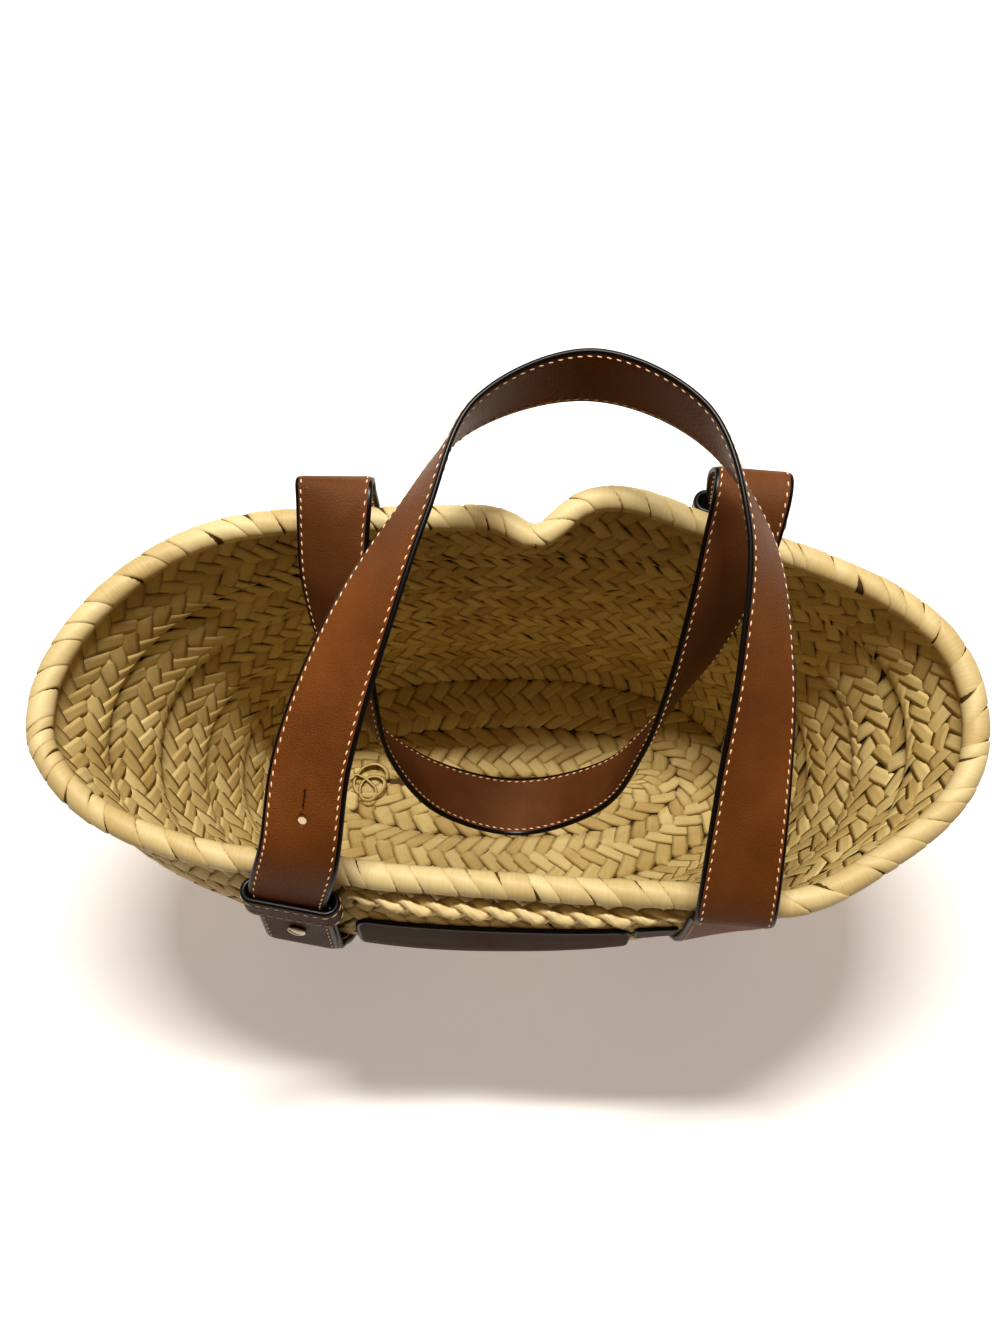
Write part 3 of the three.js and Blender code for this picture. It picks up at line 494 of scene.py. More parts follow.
def rimWraps():
    # wrap: place = low + share of its width + slant sin(turn) + wobble, so that it runs a little askew;
    # radius = roll - sunk + thick times the profile's height + puff cos(2 turn) + creases on the upper face
    rng = np.random.default_rng(wraps["seed"])
    count = int(round(rimAround / wraps["width"]))
    each = (count, 1, 1)
    widths = np.clip(rng.normal(1, wraps["spread"], count), wraps["narrowest"], wraps["widest"])
    edges = np.concatenate([[0], np.cumsum(widths)]) / widths.sum()
    low, high = edges[:-1][:, None, None], edges[1:][:, None, None]
    across, up = wrapProfile.T[:, None, None, :]
    lap = wraps["lap"] / rimAround * (across > 0.9)
    turn = (np.arange(wraps["section"]) / wraps["section"] * 2 * np.pi)[None, :, None]
    slant = wraps["slant"] * (1 + rng.normal(0, wraps["stray"], each)) / rimAround
    wobble = rng.normal(0, wraps["stray"], each) * np.sin(turn + rng.random(each) * 6.3)
    wobble = wobble * wraps["wobble"] / rimAround
    around = low + (high - low) * across + lap + slant * np.sin(turn) + wobble
    puff = rng.normal(0, wraps["puff"], each) * np.cos(2 * turn + rng.random(each) * 6.3)
    crease = wraps["crease"] * rng.random(each) * np.sin(across * 9 + rng.random(each) * 6)
    radius = rollRadius - wraps["sunk"] + wraps["thick"] * up + np.where(up > 0, puff + crease, 0)
    around, turnAll, radius = np.broadcast_arrays(around, turn, radius)
    points = rimPoint(around, turnAll, radius)
    block = gridFaces(wraps["section"], len(wrapProfile), wrapRows=True, wrapColumns=True)
    shift = (np.arange(count) * wraps["section"] * len(wrapProfile))[:, None, None]
    acrossMm = (around - low) * rimAround + rng.random(each) * wraps["grain"]
    roundMm = turnAll * rollRadius + rng.random(each) * wraps["grain"]
    uv = np.stack(np.broadcast_arrays(acrossMm, roundMm), -1)
    tone = np.broadcast_to(rng.random(each), around.shape)
    faces = [(block[None] + shift).reshape(-1, 4)]
    return addMesh("rimWraps", points, faces, uv=uv, tone=tone, materials=[strawWrap])


rimBands = rimWraps()
bedTurns = np.arange(rimBed["sides"]) / rimBed["sides"] * 2 * np.pi
bedA, bedT = np.meshgrid(np.arange(rimBed["around"]) / rimBed["around"], bedTurns, indexing="ij")
bedPoints = rimPoint(bedA, bedT, np.full_like(bedA, rollRadius - rimBed["sunk"]))
bedFaces = [gridFaces(rimBed["around"], rimBed["sides"], wrapRows=True, wrapColumns=True)]
rimCore = addMesh("rimCore", bedPoints, bedFaces, materials=[strawUnderShade])
for piece in (rimBands, rimCore):
    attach(piece, "root")
    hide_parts("rim_binding")
print("stage: rim binding")


# Where flat pieces lie on the side of the basket
sideRead = {"rows": 16, "rippleRows": 3, "rollDegrees": (-50, -25, 0), "reach": 4.0, "swing": 18.0}


def sideOutline(x, side):
    # outline of the wall and of the roll's outer quarter at one x, as distance out against height
    levels = lerp(cornerShare, 1.0, np.arange(sideRead["rows"]) / (sideRead["rows"] - 1))
    shares = np.linspace(0.5, 1.0 if side < 0 else 0.0, basket["readPlaces"])
    out, up = [], []
    for row, level in enumerate(levels):
        ripple = -math.cos(row / sideRead["rippleRows"] * 2 * math.pi) * basket["ripple"]
        ring = wallMiddle(shares, level) + outwardFlat(shares, level) * (basket["wall"] / 2 + ripple)
        out.append(side * np.interp(x, ring[:, 0], ring[:, 1]))
        up.append(np.interp(x, ring[:, 0], ring[:, 2]))
    ring = wallMiddle(shares, 1.0)
    middleOut = side * np.interp(x, ring[:, 0], ring[:, 1])
    middleUp = np.interp(x, ring[:, 0], ring[:, 2]) + rollHeight - wallTop
    for degrees in sideRead["rollDegrees"]:
        out.append(middleOut + rollRadius * math.cos(math.radians(degrees)))
        up.append(middleUp + rollRadius * math.sin(math.radians(degrees)))
    return np.array(out), np.array(up)


outlineStore = {}


def tautOutline(x, side):
    # upper envelope: each point moves out to the highest line between any two points on either side of it
    key = (round(float(x), 3), side)
    if key not in outlineStore:
        out, up = sideOutline(x, side)
        best = out.copy()
        for place in range(1, len(out) - 1):
            lowOut, lowUp = out[:place, None], up[:place, None]
            highOut, highUp = out[None, place + 1:], up[None, place + 1:]
            bridge = lerp(lowOut, highOut, (up[place] - lowUp) / (highUp - lowUp))
            best[place] = max(out[place], bridge.max())
        outlineStore[key] = (best, up)
    return outlineStore[key]


def readOutline(x, side, height):  # straight reading that runs on past both ends
    out, up = tautOutline(x, side)
    place = np.clip(np.searchsorted(up, height) - 1, 0, len(up) - 2)
    return out[place] + (out[place + 1] - out[place]) * (height - up[place]) / (up[place + 1] - up[place])


def seat(x, side, height, lift):
    # point on the side at x and height, with the directions up, across and out, moved out by lift
    reach, swing = sideRead["reach"], sideRead["swing"]
    slope = (readOutline(x, side, height + reach / 2) - readOutline(x, side, height - reach / 2)) / reach
    up = unit(np.array([0.0, side * slope, 1.0]))
    turn = side * (readOutline(x + swing, side, height) - readOutline(x - swing, side, height))
    across = unit(np.array([2 * swing, turn, 0.0]))
    across = unit(across - up * across.dot(up))
    out = np.cross(across, up)
    out = -out if out[1] * side < 0 else out
    point = np.array([x, side * readOutline(x, side, height), height]) + out * lift
    return {"point": point, "up": up, "across": across, "out": out}


# Straps: the same routes as the solids

strap = {
    "width": 36.0, "thick": 3.2, "foot": 16.0, "claspAcross": 96.0, "legAcross": 100.0, "backLegAcross": 80.0,
    "backClaspAcross": 110.0, "tail": 36.0, "keeperThick": 2.0, "keeperHeight": 16.0, "keeperSlack": 1.6,
    "studFromEnd": 20.0, "anchorRise": 60.0, "anchorRiseEnd": 18.0, "anchorLead": 6.0,
    "legSteps": 12, "tailSteps": 7, "anchorSteps": 10, "holeShare": 0.126,
}
claspTop = rollHeight - basket["fit"]
tailStraightTop = claspTop + 2 * strap["keeperThick"]
keeperMiddle = claspTop - strap["keeperHeight"] / 2 + 2
tailBottom = keeperMiddle - strap["keeperHeight"] / 2 - strap["tail"]
layer = strap["thick"] + basket["fit"]
anchorLift = basket["wallGap"] + strap["keeperThick"] + basket["fit"] + strap["thick"] / 2
tailLift = anchorLift + layer
lowLift = basket["wallGap"] + strap["thick"] / 2
keeperHalf = strap["width"] / 2 + strap["keeperSlack"] + strap["keeperThick"]
studHeight = tailBottom + strap["studFromEnd"]

# Loops: across, back and up as shares of half length, half width and height, then the way to the inner edge
frontLoop = [
    (-0.4, -0.64, 1.13, 0.95, -0.25, 0.05), (-0.37, -0.28, 1.21, 0.92, -0.35, 0.16),
    (-0.29, 0.2, 1.28, 0.79, -0.39, 0.47), (-0.19, 0.68, 1.3, 0.49, -0.27, 0.83),
    (-0.07, 1.13, 1.3, 0.12, 0.0, 1.0), (0.16, 1.32, 1.29, 0.0, 0.2, 0.98),
    (0.37, 1.09, 1.31, -0.05, 0.05, 1.0), (0.47, 0.62, 1.31, -0.45, -0.13, 0.88),
    (0.48, 0.1, 1.27, -0.77, -0.12, 0.63), (0.46, -0.4, 1.19, -0.95, -0.05, 0.31),
    (0.445, -0.82, 1.075, -1.0, 0.05, 0.08), (0.445, -0.905, 1.02, -1.0, 0.05, 0.03),
]
backLoop = [
    (-0.357, 1.02, 1.045, 1.0, 0.0, 0.0), (-0.356, 1.03, 1.085, 1.0, 0.0, 0.0),
    (-0.356, 0.985, 1.115, 0.99, -0.1, 0.05), (-0.357, 0.9, 1.108, 0.97, -0.2, 0.1),
    (-0.362, 0.77, 1.067, 0.95, -0.27, 0.17), (-0.365, 0.58, 0.99, 0.92, -0.3, 0.24),
    (-0.35, 0.29, 0.81, 0.74, -0.5, 0.45), (-0.3, 0.04, 0.61, 0.41, -0.73, 0.54),
    (-0.17, -0.155, 0.41, 0.09, -0.89, 0.44), (0.03, -0.235, 0.32, -0.02, -0.94, 0.34),
    (0.24, -0.145, 0.43, -0.15, -0.85, 0.5), (0.34, 0.06, 0.63, -0.39, -0.76, 0.53),
    (0.41, 0.3, 0.83, -0.73, -0.46, 0.5), (0.46, 0.585, 1.01, -0.95, -0.1, 0.31),
    (0.482, 0.77, 1.09, -0.98, 0.1, 0.1), (0.496, 0.92, 1.135, -0.99, 0.1, 0.0),
    (0.502, 1.015, 1.13, -0.99, 0.1, 0.0), (0.497, 1.05, 1.085, -0.99, 0.1, 0.0),
]


def claspFrame(x, side):
    # straight frame from the tail's end to the roll, stood off so that the whole keeper clears the wall
    top, bottom = seat(x, side, claspTop, 0.0), seat(x, side, tailBottom, 0.0)
    up = unit(top["point"] - bottom["point"])
    across = unit(bottom["across"] - up * bottom["across"].dot(up))
    out = np.cross(across, up)
    out = -out if out[1] * side < 0 else out
    standOff = 0.0
    for share in (-1, -0.5, 0, 0.5, 1):
        outs, ups = tautOutline(x + share * keeperHalf, side)
        keep = ups > tailBottom
        points = np.stack([np.full(keep.sum(), x + share * keeperHalf), side * outs[keep], ups[keep]], -1)
        standOff = max(standOff, float(((points - bottom["point"]) @ out).max()))

    def at(height, lift):
        return bottom["point"] + up * ((height - bottom["point"][2]) / up[2]) + out * (lift + standOff)
    return {"up": up, "across": across, "out": out, "at": at}


frontClasp = claspFrame(-strap["claspAcross"], -1)
backClasp = claspFrame(strap["backClaspAcross"], 1)


def loopRoute(rows):  # a loop's places in millimetres and its directions across
    table = np.array(rows)
    scale = np.array([basket["rimLength"] / 2, basket["rimWidth"] / 2, basket["height"]])
    return table[:, :3] * scale, unit(table[:, 3:])


def tailRoute(clasp, innerSign):  # even steps up the clasp's straight line, on top of the anchor strap
    heights = lerp(tailBottom, tailStraightTop, np.arange(strap["tailSteps"] + 1) / strap["tailSteps"])
    points = np.array([clasp["at"](height, tailLift) for height in heights])
    return points, np.tile(clasp["across"] * innerSign, (len(heights), 1))


def legRoute(x, side, innerSign):  # even steps of height down the wall
    heights = lerp(claspTop, strap["foot"], np.arange(strap["legSteps"] + 1) / strap["legSteps"])
    places = [seat(x, side, height, lowLift) for height in heights]
    points = np.array([place["point"] for place in places])
    return points, np.array([place["across"] * innerSign for place in places])


def anchorRoute(x, side, clasp):  # up the wall, away from it by a smooth step, then straight under the tail
    riseEnd = tailBottom - strap["anchorRiseEnd"]
    innerSign = side * math.copysign(1, x)
    heights = lerp(strap["foot"], riseEnd, np.arange(strap["anchorSteps"]) / (strap["anchorSteps"] - 1))
    points, edges = [], []
    for height in heights:
        share = min(max((height - riseEnd + strap["anchorRise"]) / strap["anchorRise"], 0), 1)
        place = seat(x, side, height, lerp(lowLift, anchorLift, share * share * (3 - 2 * share)))
        points.append(place["point"])
        edges.append(place["across"] * innerSign)
    lead, end = tailBottom - strap["anchorLead"], claspTop - basket["fit"]
    for height in (lead, tailBottom, studHeight, keeperMiddle, end):
        points.append(clasp["at"](height, anchorLift))
        edges.append(clasp["across"] * innerSign)
    return np.array(points), np.array(edges)


def splineAt(points, share, centripetal):
    # Catmull-Rom curve: knots by the root of the chord's length (centripetal) or even knots,
    # tangents from three neighbours
    last = len(points) - 1
    place = np.clip(share * last, 0, last - 1e-9)
    first = np.floor(place).astype(int)
    weight = (place - first)[:, None]
    padded = np.concatenate([[2 * points[0] - points[1]], points, [2 * points[-1] - points[-2]]])
    p0, p1, p2, p3 = padded[first], padded[first + 1], padded[first + 2], padded[first + 3]
    if centripetal:
        chords = (p1 - p0, p2 - p1, p3 - p2)
        roots = [np.linalg.norm(chord, axis=1, keepdims=True) ** 0.5 for chord in chords]
        d0, d1, d2 = [np.maximum(root, 1e-4) for root in roots]
        t1 = ((p1 - p0) / d0 - (p2 - p0) / (d0 + d1) + (p2 - p1) / d1) * d1
        t2 = ((p2 - p1) / d1 - (p3 - p1) / (d1 + d2) + (p3 - p2) / d2) * d1
    else:
        t1, t2 = 0.5 * (p2 - p0), 0.5 * (p3 - p1)
    square, cube = weight ** 2, weight ** 3
    return p1 + t1 * weight + (-3 * p1 + 3 * p2 - 2 * t1 - t2) * square + (2 * p1 - 2 * p2 + t1 + t2) * cube


def strapFrames(route, step=2.0):
    # even steps along the curve: centre, direction along, direction across and face normal
    points, edges = route
    fine = np.linspace(0, 1, 4000)
    curve = splineAt(points, fine, True)
    lengths = np.concatenate([[0], np.cumsum(np.linalg.norm(np.diff(curve, axis=0), axis=1))])
    total = lengths[-1]
    places = np.linspace(0, total, int(total / step) + 1)
    shares = np.interp(places, lengths, fine)
    centre = splineAt(points, shares, True)
    along = unit(np.gradient(centre, axis=0))
    across = splineAt(edges, shares, False)
    across = unit(across - along * (across * along).sum(1, keepdims=True))
    return {"s": places, "centre": centre, "along": along, "across": across, "face": np.cross(across, along)}


def readFrames(frames, places):  # centre, along, across and face at given lengths along a strap
    return [np.stack([np.interp(places, frames["s"], frames[field][:, k]) for k in range(3)], -1)
            for field in ("centre", "along", "across", "face")]


strapProfile = {
    "edgeRound": 1.5, "bevel": 0.35, "bevelFrom": 15.2, "bevelRun": 1.2, "stitchLine": 15.1, "flatPoints": 9,
    "flatEdge": 1.75, "flatEnd": 1.4, "edgeFlat": 0.25, "corner": 5.0, "endRun": 1.2, "endDepth": 0.35,
    "paintedEnd": 1.3, "darkOver": 4.0,
}


def strapSection():
    # closed section, over the upper face and back below: flat face, soft bevel, round painted edge
    half, depth, rounding = strap["width"] / 2, strap["thick"] / 2, strapProfile["edgeRound"]
    flatHalf, endHalf = half - strapProfile["flatEdge"], half - strapProfile["flatEnd"]
    flat = np.linspace(-flatHalf, flatHalf, strapProfile["flatPoints"] * 2 + 1)
    flat = np.concatenate([[-endHalf], flat, [endHalf]])
    past = np.clip((np.abs(flat) - strapProfile["bevelFrom"]) / strapProfile["bevelRun"], 0, 1)
    turn = np.linspace(0, np.pi, 9)[1:-1]
    topRow = np.stack([flat, depth - strapProfile["bevel"] * past ** 2], -1)
    edgeOut, edgeUp = rounding * np.sin(turn), (depth - strapProfile["edgeFlat"]) * np.cos(turn)
    endRow = np.stack([half - rounding + edgeOut, edgeUp], -1)
    section = np.concatenate([topRow, endRow, -topRow, -endRow])
    top, side = len(topRow), len(topRow) + len(endRow)
    painted = np.zeros(len(section), bool)
    painted[top - 1:side] = True
    painted[top + side - 1:] = True
    painted[[0, top - 2, side, top + side - 2]] = True
    return section, painted


def strapMesh(name, frames, materials, tailEnd):
    # the section carried along the frames; near an end its half width follows the corner's quarter circle
    section, painted = strapSection()
    s, half, corner = frames["s"], strap["width"] / 2, strapProfile["corner"]
    scale = np.ones_like(s)
    for away in (s, s[-1] - s):
        short = np.clip(corner - away, 0, corner)
        rounded = (half - corner + np.sqrt(np.maximum(corner ** 2 - short ** 2, 0.05))) / half
        scale = np.where(away < corner, rounded, scale)
    toEnd = np.minimum(s, s[-1] - s) / strapProfile["endRun"] + strapProfile["endDepth"]
    wide = section[None, :, 0] * scale[:, None]
    deep = section[None, :, 1] * (np.clip(toEnd, 0, 1) ** 0.5)[:, None]
    points = frames["centre"][:, None] + frames["across"][:, None] * wide[..., None]
    points = points + frames["face"][:, None] * deep[..., None]
    count = len(section)
    rowMiddle = (s[:-1] + s[1:]) / 2
    fromEnds = (rowMiddle, s[-1] - rowMiddle)
    slots = np.tile(painted.astype(int), len(s) - 1)
    slots[np.repeat(np.minimum(*fromEnds) < strapProfile["paintedEnd"], count)] = 1
    if tailEnd is not None:  # the tail below the keeper takes the shaded leather: painted shade, as it faces away from the light
        shadedTail = np.repeat(fromEnds[tailEnd] < strap["tail"] + strapProfile["darkOver"], count)
        slots[shadedTail & (slots == 0)] = 2
    slots = np.append(slots, [1, 1])
    uv = np.stack(np.broadcast_arrays(wide, s[:, None]), -1)
    return addMesh(name, points, tubeFaces(len(s), count, flip=True), uv=uv, materials=materials, slots=slots)


# Leather (deep, middle and warm tone of each piece), thread, paint and metal
leatherLook = {
    "handle": ("#603716", "#6b3f19", "#75471e"),
    # inner: a slightly darker, greyer copy of the calf for the back handle, painted shade on the loop that
    # hangs inside the basket
    "inner": ("#5a371f", "#643f24", "#6e472a"),
    # dark: painted shade, a darker copy of the calf for the keepers, tab, anchors and tail that face away
    # from the light
    "dark": ("#371907", "#402009", "#4b280f"),
    # patch: darker still, painted shade on the front patch that faces away from the light
    "patch": ("#35200f", "#3f2613", "#492e19"),
    "grain": 1.7, "bump": 0.8,
}
trimLook = {"paint": "#0b070a", "thread": "#e8cba8", "brass": "#b4aa98", "raw": "#e2c6a4"}


def leatherMaterial(name, colours, roughness=0.45, shine=0.16):
    # fine-grained calf, dyed through and waxed: small pebbles, as many for each millimetre as grain says,
    # a slow drift of colour and a soft wide highlight
    material, tree, shader = newMaterial(name, Roughness=roughness, IOR=1.45, Specular_IOR_Level=shine)
    smoothCells = {"voronoi_dimensions": "2D", "feature": "SMOOTH_F1"}
    uv = node(tree, "ShaderNodeUVMap", {"uv_map": "surface"}).outputs["UV"]
    drift = node(tree, "ShaderNodeTexNoise", flatNoise, Vector=uv, Scale=0.025, Detail=4.0, Roughness=0.6)
    grain = {"Scale": leatherLook["grain"], "Smoothness": 0.6}
    pebble = node(tree, "ShaderNodeTexVoronoi", smoothCells, Vector=uv, **grain).outputs["Distance"]
    hair = node(tree, "ShaderNodeTexNoise", flatNoise, Vector=uv, Scale=0.9, Detail=3.0).outputs["Fac"]
    mixed = node(tree, "ShaderNodeMath", multiplyAdd, n0=hair, n1=0.35, n2=drift.outputs["Fac"]).outputs[0]
    colour = ramp(tree, mixed, list(zip((0.42, 0.66, 0.95), colours)))
    tree.links.new(colour, shader.inputs["Base Color"])
    high = node(tree, "ShaderNodeMath", multiplyAdd, n0=hair, n1=0.5, n2=pebble).outputs[0]
    raised = node(tree, "ShaderNodeBump", Strength=leatherLook["bump"], Distance=0.0003, Height=high)
    tree.links.new(raised.outputs["Normal"], shader.inputs["Normal"])
    limits = {"n1": 0.3, "n2": 0.7, "n3": roughness - 0.06, "n4": roughness + 0.08}
    rough = node(tree, "ShaderNodeMapRange", n0=drift.outputs["Fac"], **limits).outputs[0]
    tree.links.new(rough, shader.inputs["Roughness"])
    return material


handleLeather = leatherMaterial("waxedCalf", leatherLook["handle"])
shadedInnerLeather = leatherMaterial("waxedCalfBackShade", leatherLook["inner"])
shadedLeather = leatherMaterial("waxedCalfShade", leatherLook["dark"], shine=0.15)
shadedPatchLeather = leatherMaterial("waxedCalfPatchShade", leatherLook["patch"], roughness=0.55, shine=0.1)
# edge paint: thick rubbery lacquer, near black with a cool sheen
paintLook = {"Roughness": 0.36, "IOR": 1.5, "Specular_IOR_Level": 0.3}
edgePaint = newMaterial("edgeLacquer", Base_Color=linear(trimLook["paint"]), **paintLook)[0]
# waxed linen thread, matte with a slight fuzz
threadLook = {"Roughness": 0.6, "IOR": 1.5, "Sheen_Weight": 0.2}
thread = newMaterial("linenThread", Base_Color=linear(trimLook["thread"]), **threadLook)[0]
# polished pale brass with fine turning marks, which vary its roughness
brassLook = {"Roughness": 0.25, "Metallic": 1.0}
studMetal, studTree, studShader = newMaterial("paleBrass", Base_Color=linear(trimLook["brass"]), **brassLook)
studPlace = node(studTree, "ShaderNodeTexCoord").outputs["Object"]
scratches = node(studTree, "ShaderNodeTexNoise", Vector=studPlace, Scale=900.0, Detail=2.0).outputs["Fac"]
studRough = node(studTree, "ShaderNodeMapRange", n0=scratches, n1=0.3, n2=0.7, n3=0.2, n4=0.36).outputs[0]
studTree.links.new(studRough, studShader.inputs["Roughness"])
print("stage: leather, thread and metal materials")


# Stitches: small capsules along both long edges of a strap, on both faces
stitch = {
    "pitch": 4.4, "length": 2.7, "thick": 0.74, "slant": 9.0, "endRoom": 6.0, "above": 0.02,
    "sides": 6, "rings": 5, "flatten": 0.75, "sink": 0.25,
}


def capsules(name, centres, alongs, ups, length, thick):
    # thread capsule: radius = thick/2 sqrt(1 - u^4) over its length, flattened, ends pressed into the leather
    u = np.linspace(-1, 1, stitch["rings"])[None, :, None]
    turn = (np.arange(stitch["sides"]) / stitch["sides"] * 2 * np.pi)[None, None, :]
    radius = thick / 2 * np.sqrt(np.clip(1 - u ** 4, 0.02, 1))
    high = (radius * np.cos(turn)) * stitch["flatten"] - stitch["sink"] * u ** 2 * thick
    sides = np.cross(alongs, ups)
    points = (centres[:, None, None] + alongs[:, None, None] * (u * length / 2)[..., None]
              + ups[:, None, None] * high[..., None]
              + sides[:, None, None] * (radius * np.sin(turn))[..., None])
    faces = tubeFaces(stitch["rings"], stitch["sides"], len(centres))
    return addMesh(name, points, faces, materials=[thread])


def strapStitches(name, frames):  # a row along each edge on each face, every stitch turned a little
    places = np.arange(stitch["endRoom"], frames["s"][-1] - stitch["endRoom"], stitch["pitch"])
    centre, along, across, face = readFrames(frames, places)
    along, across, face = unit(along), unit(across), unit(face)
    rows = []
    for side in (-1, 1):
        for facing in (-1, 1):
            lean = math.radians(stitch["slant"]) * side * facing
            seam = centre + across * side * strapProfile["stitchLine"]
            seam = seam + face * facing * (strap["thick"] / 2 + stitch["above"])
            rows.append((seam, along * math.cos(lean) + across * math.sin(lean), face * facing))
    centres, alongs, ups = [np.concatenate([row[k] for row in rows]) for k in range(3)]
    return capsules(name, centres, unit(alongs), ups, stitch["length"], stitch["thick"])


frontPoints = [tailRoute(frontClasp, 1), loopRoute(frontLoop), legRoute(strap["legAcross"], -1, -1)]
frontFrames = strapFrames([np.concatenate([part[k] for part in frontPoints]) for k in range(2)])
legUp = legRoute(-strap["backLegAcross"], 1, 1)
tailDown = tailRoute(backClasp, -1)
backPoints = [(legUp[0][::-1], legUp[1][::-1]), loopRoute(backLoop), (tailDown[0][::-1], tailDown[1][::-1])]
backFrames = strapFrames([np.concatenate([part[k] for part in backPoints]) for k in range(2)])
frontAnchorFrames = strapFrames(anchorRoute(-strap["claspAcross"], -1, frontClasp))
backAnchorFrames = strapFrames(anchorRoute(strap["backClaspAcross"], 1, backClasp))
print("strap lengths in mm", round(frontFrames["s"][-1]), round(backFrames["s"][-1]))

strapPieces = [  # name, frames, leather, which end is a tail, CAD node and slot
    ("frontHandle", frontFrames, handleLeather, 0, "front_handle_strap", "front_strap"),
    ("backHandle", backFrames, shadedInnerLeather, 1, "back_handle_strap", "back_strap"),
    ("frontAnchor", frontAnchorFrames, shadedLeather, None, "front_anchor_strap", "anchor"),
    ("backAnchor", backAnchorFrames, shadedLeather, None, "back_anchor_strap", "anchor"),
]
strapObjects = {}
for name, frames, leather, tailEnd, cadNode, slotName in strapPieces:
    strapObjects[name] = strapMesh(name, frames, [leather, edgePaint, shadedLeather], tailEnd)
    sewing = strapStitches(name + "Stitches", frames)
    for piece in (strapObjects[name], sewing):
        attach(piece, "root")
        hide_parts(cadNode)

# the photo shows no shadow of the hanging loop on the front of the base, so the loop casts none
strapObjects["backHandle"].visible_shadow = False


# Adjusting hole and the short slit above it, cut through the front handle
hole = {
    "radius": 2.2, "slitFrom": 4.5, "slitTo": 13.0, "slitWide": 0.45, "sides": 28, "cutDepth": 4.0,
    "lining": 2.15, "liningDepth": 0.5, "liningLow": 0.1,
}


def cutterMesh(name, outline, depth, low=0.0):
    # prism: the outline set along the strap and across it, run through along the face normal
    centre, along, across, face = readFrames(frontFrames, strap["holeShare"] * frontFrames["s"][-1])
    flat = centre + along * outline[:, :1] + across * outline[:, 1:]
    points = np.concatenate([flat + face * (low - depth), flat + face * (low + depth)])
    flip = np.cross(along, across).dot(face) < 0
    return addMesh(name, points, tubeFaces(2, len(outline), flip=flip), smooth=False, materials=[edgePaint])


def cutThrough(target, cutter):  # exact difference, kept as the target's own mesh
    change = target.modifiers.new("cut", "BOOLEAN")
    change.operation = "DIFFERENCE"
    change.solver = "EXACT"
    change.object = cutter
    done = bpy.data.meshes.new_from_object(target.evaluated_get(bpy.context.evaluated_depsgraph_get()))
    target.modifiers.clear()
    target.data = done
    bpy.data.objects.remove(cutter)


holeTurn = np.arange(hole["sides"]) / hole["sides"] * 2 * np.pi
roundOutline = np.stack([np.cos(holeTurn), np.sin(holeTurn)], -1)
slitFrom, slitTo, slitHalf = hole["slitFrom"], hole["slitTo"], hole["slitWide"] / 2
slitOutline = np.array([[slitFrom, -slitHalf], [slitTo, -slitHalf], [slitTo, slitHalf], [slitFrom, slitHalf]])
for name, outline in (("holeCut", roundOutline * hole["radius"]), ("slitCut", slitOutline)):
    cutThrough(strapObjects["frontHandle"], cutterMesh(name, outline, hole["cutDepth"]))
liningOutline = roundOutline * hole["lining"]
holeLining = cutterMesh("holeLining", liningOutline, hole["liningDepth"], hole["liningLow"])
# raw pale core of the leather, seen in the hole
rawLeather = newMaterial("rawLeather", Base_Color=linear(trimLook["raw"]), Roughness=0.75)[0]
holeLining.data.materials[0] = rawLeather
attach(holeLining, "root")
print("stage: straps")


# Keepers: a leather band round each clasp, painted on both edges and stitched near them
keeper = {
    "edge": 1.3, "stitchIn": 3.2, "pitch": 5.4, "slack": 2.2, "thick": 2.9, "around": 130.0, "steps": 120,
    "stitchLength": 3.5, "stitchThick": 0.85, "edgePoints": 9,
}


def keeperPath(offset, count):
    # rounded rectangle round both straps, walked at even steps: place, outward angle and length
    halfWide = strap["width"] / 2 + keeper["slack"] + offset
    halfDeep = (2 * layer + basket["fit"]) / 2 + offset
    corner = halfDeep - 0.05
    turns = np.linspace(np.arange(4), np.arange(4) + 1, 9, axis=1) * np.pi / 2
    signX, signY = np.array([1, -1, -1, 1])[:, None], np.array([1, 1, -1, -1])[:, None]
    px = (signX * (halfWide - corner) + corner * np.cos(turns)).ravel()
    py = (signY * (halfDeep - corner) + corner * np.sin(turns)).ravel()
    px, py, turns = np.append(px, px[0]), np.append(py, py[0]), np.append(turns, 2 * np.pi)
    lengths = np.concatenate([[0], np.cumsum(np.hypot(np.diff(px), np.diff(py)))])
    even = np.linspace(0, lengths[-1], count, endpoint=False)
    return np.interp(even, lengths, px), np.interp(even, lengths, py), np.interp(even, lengths, turns), even


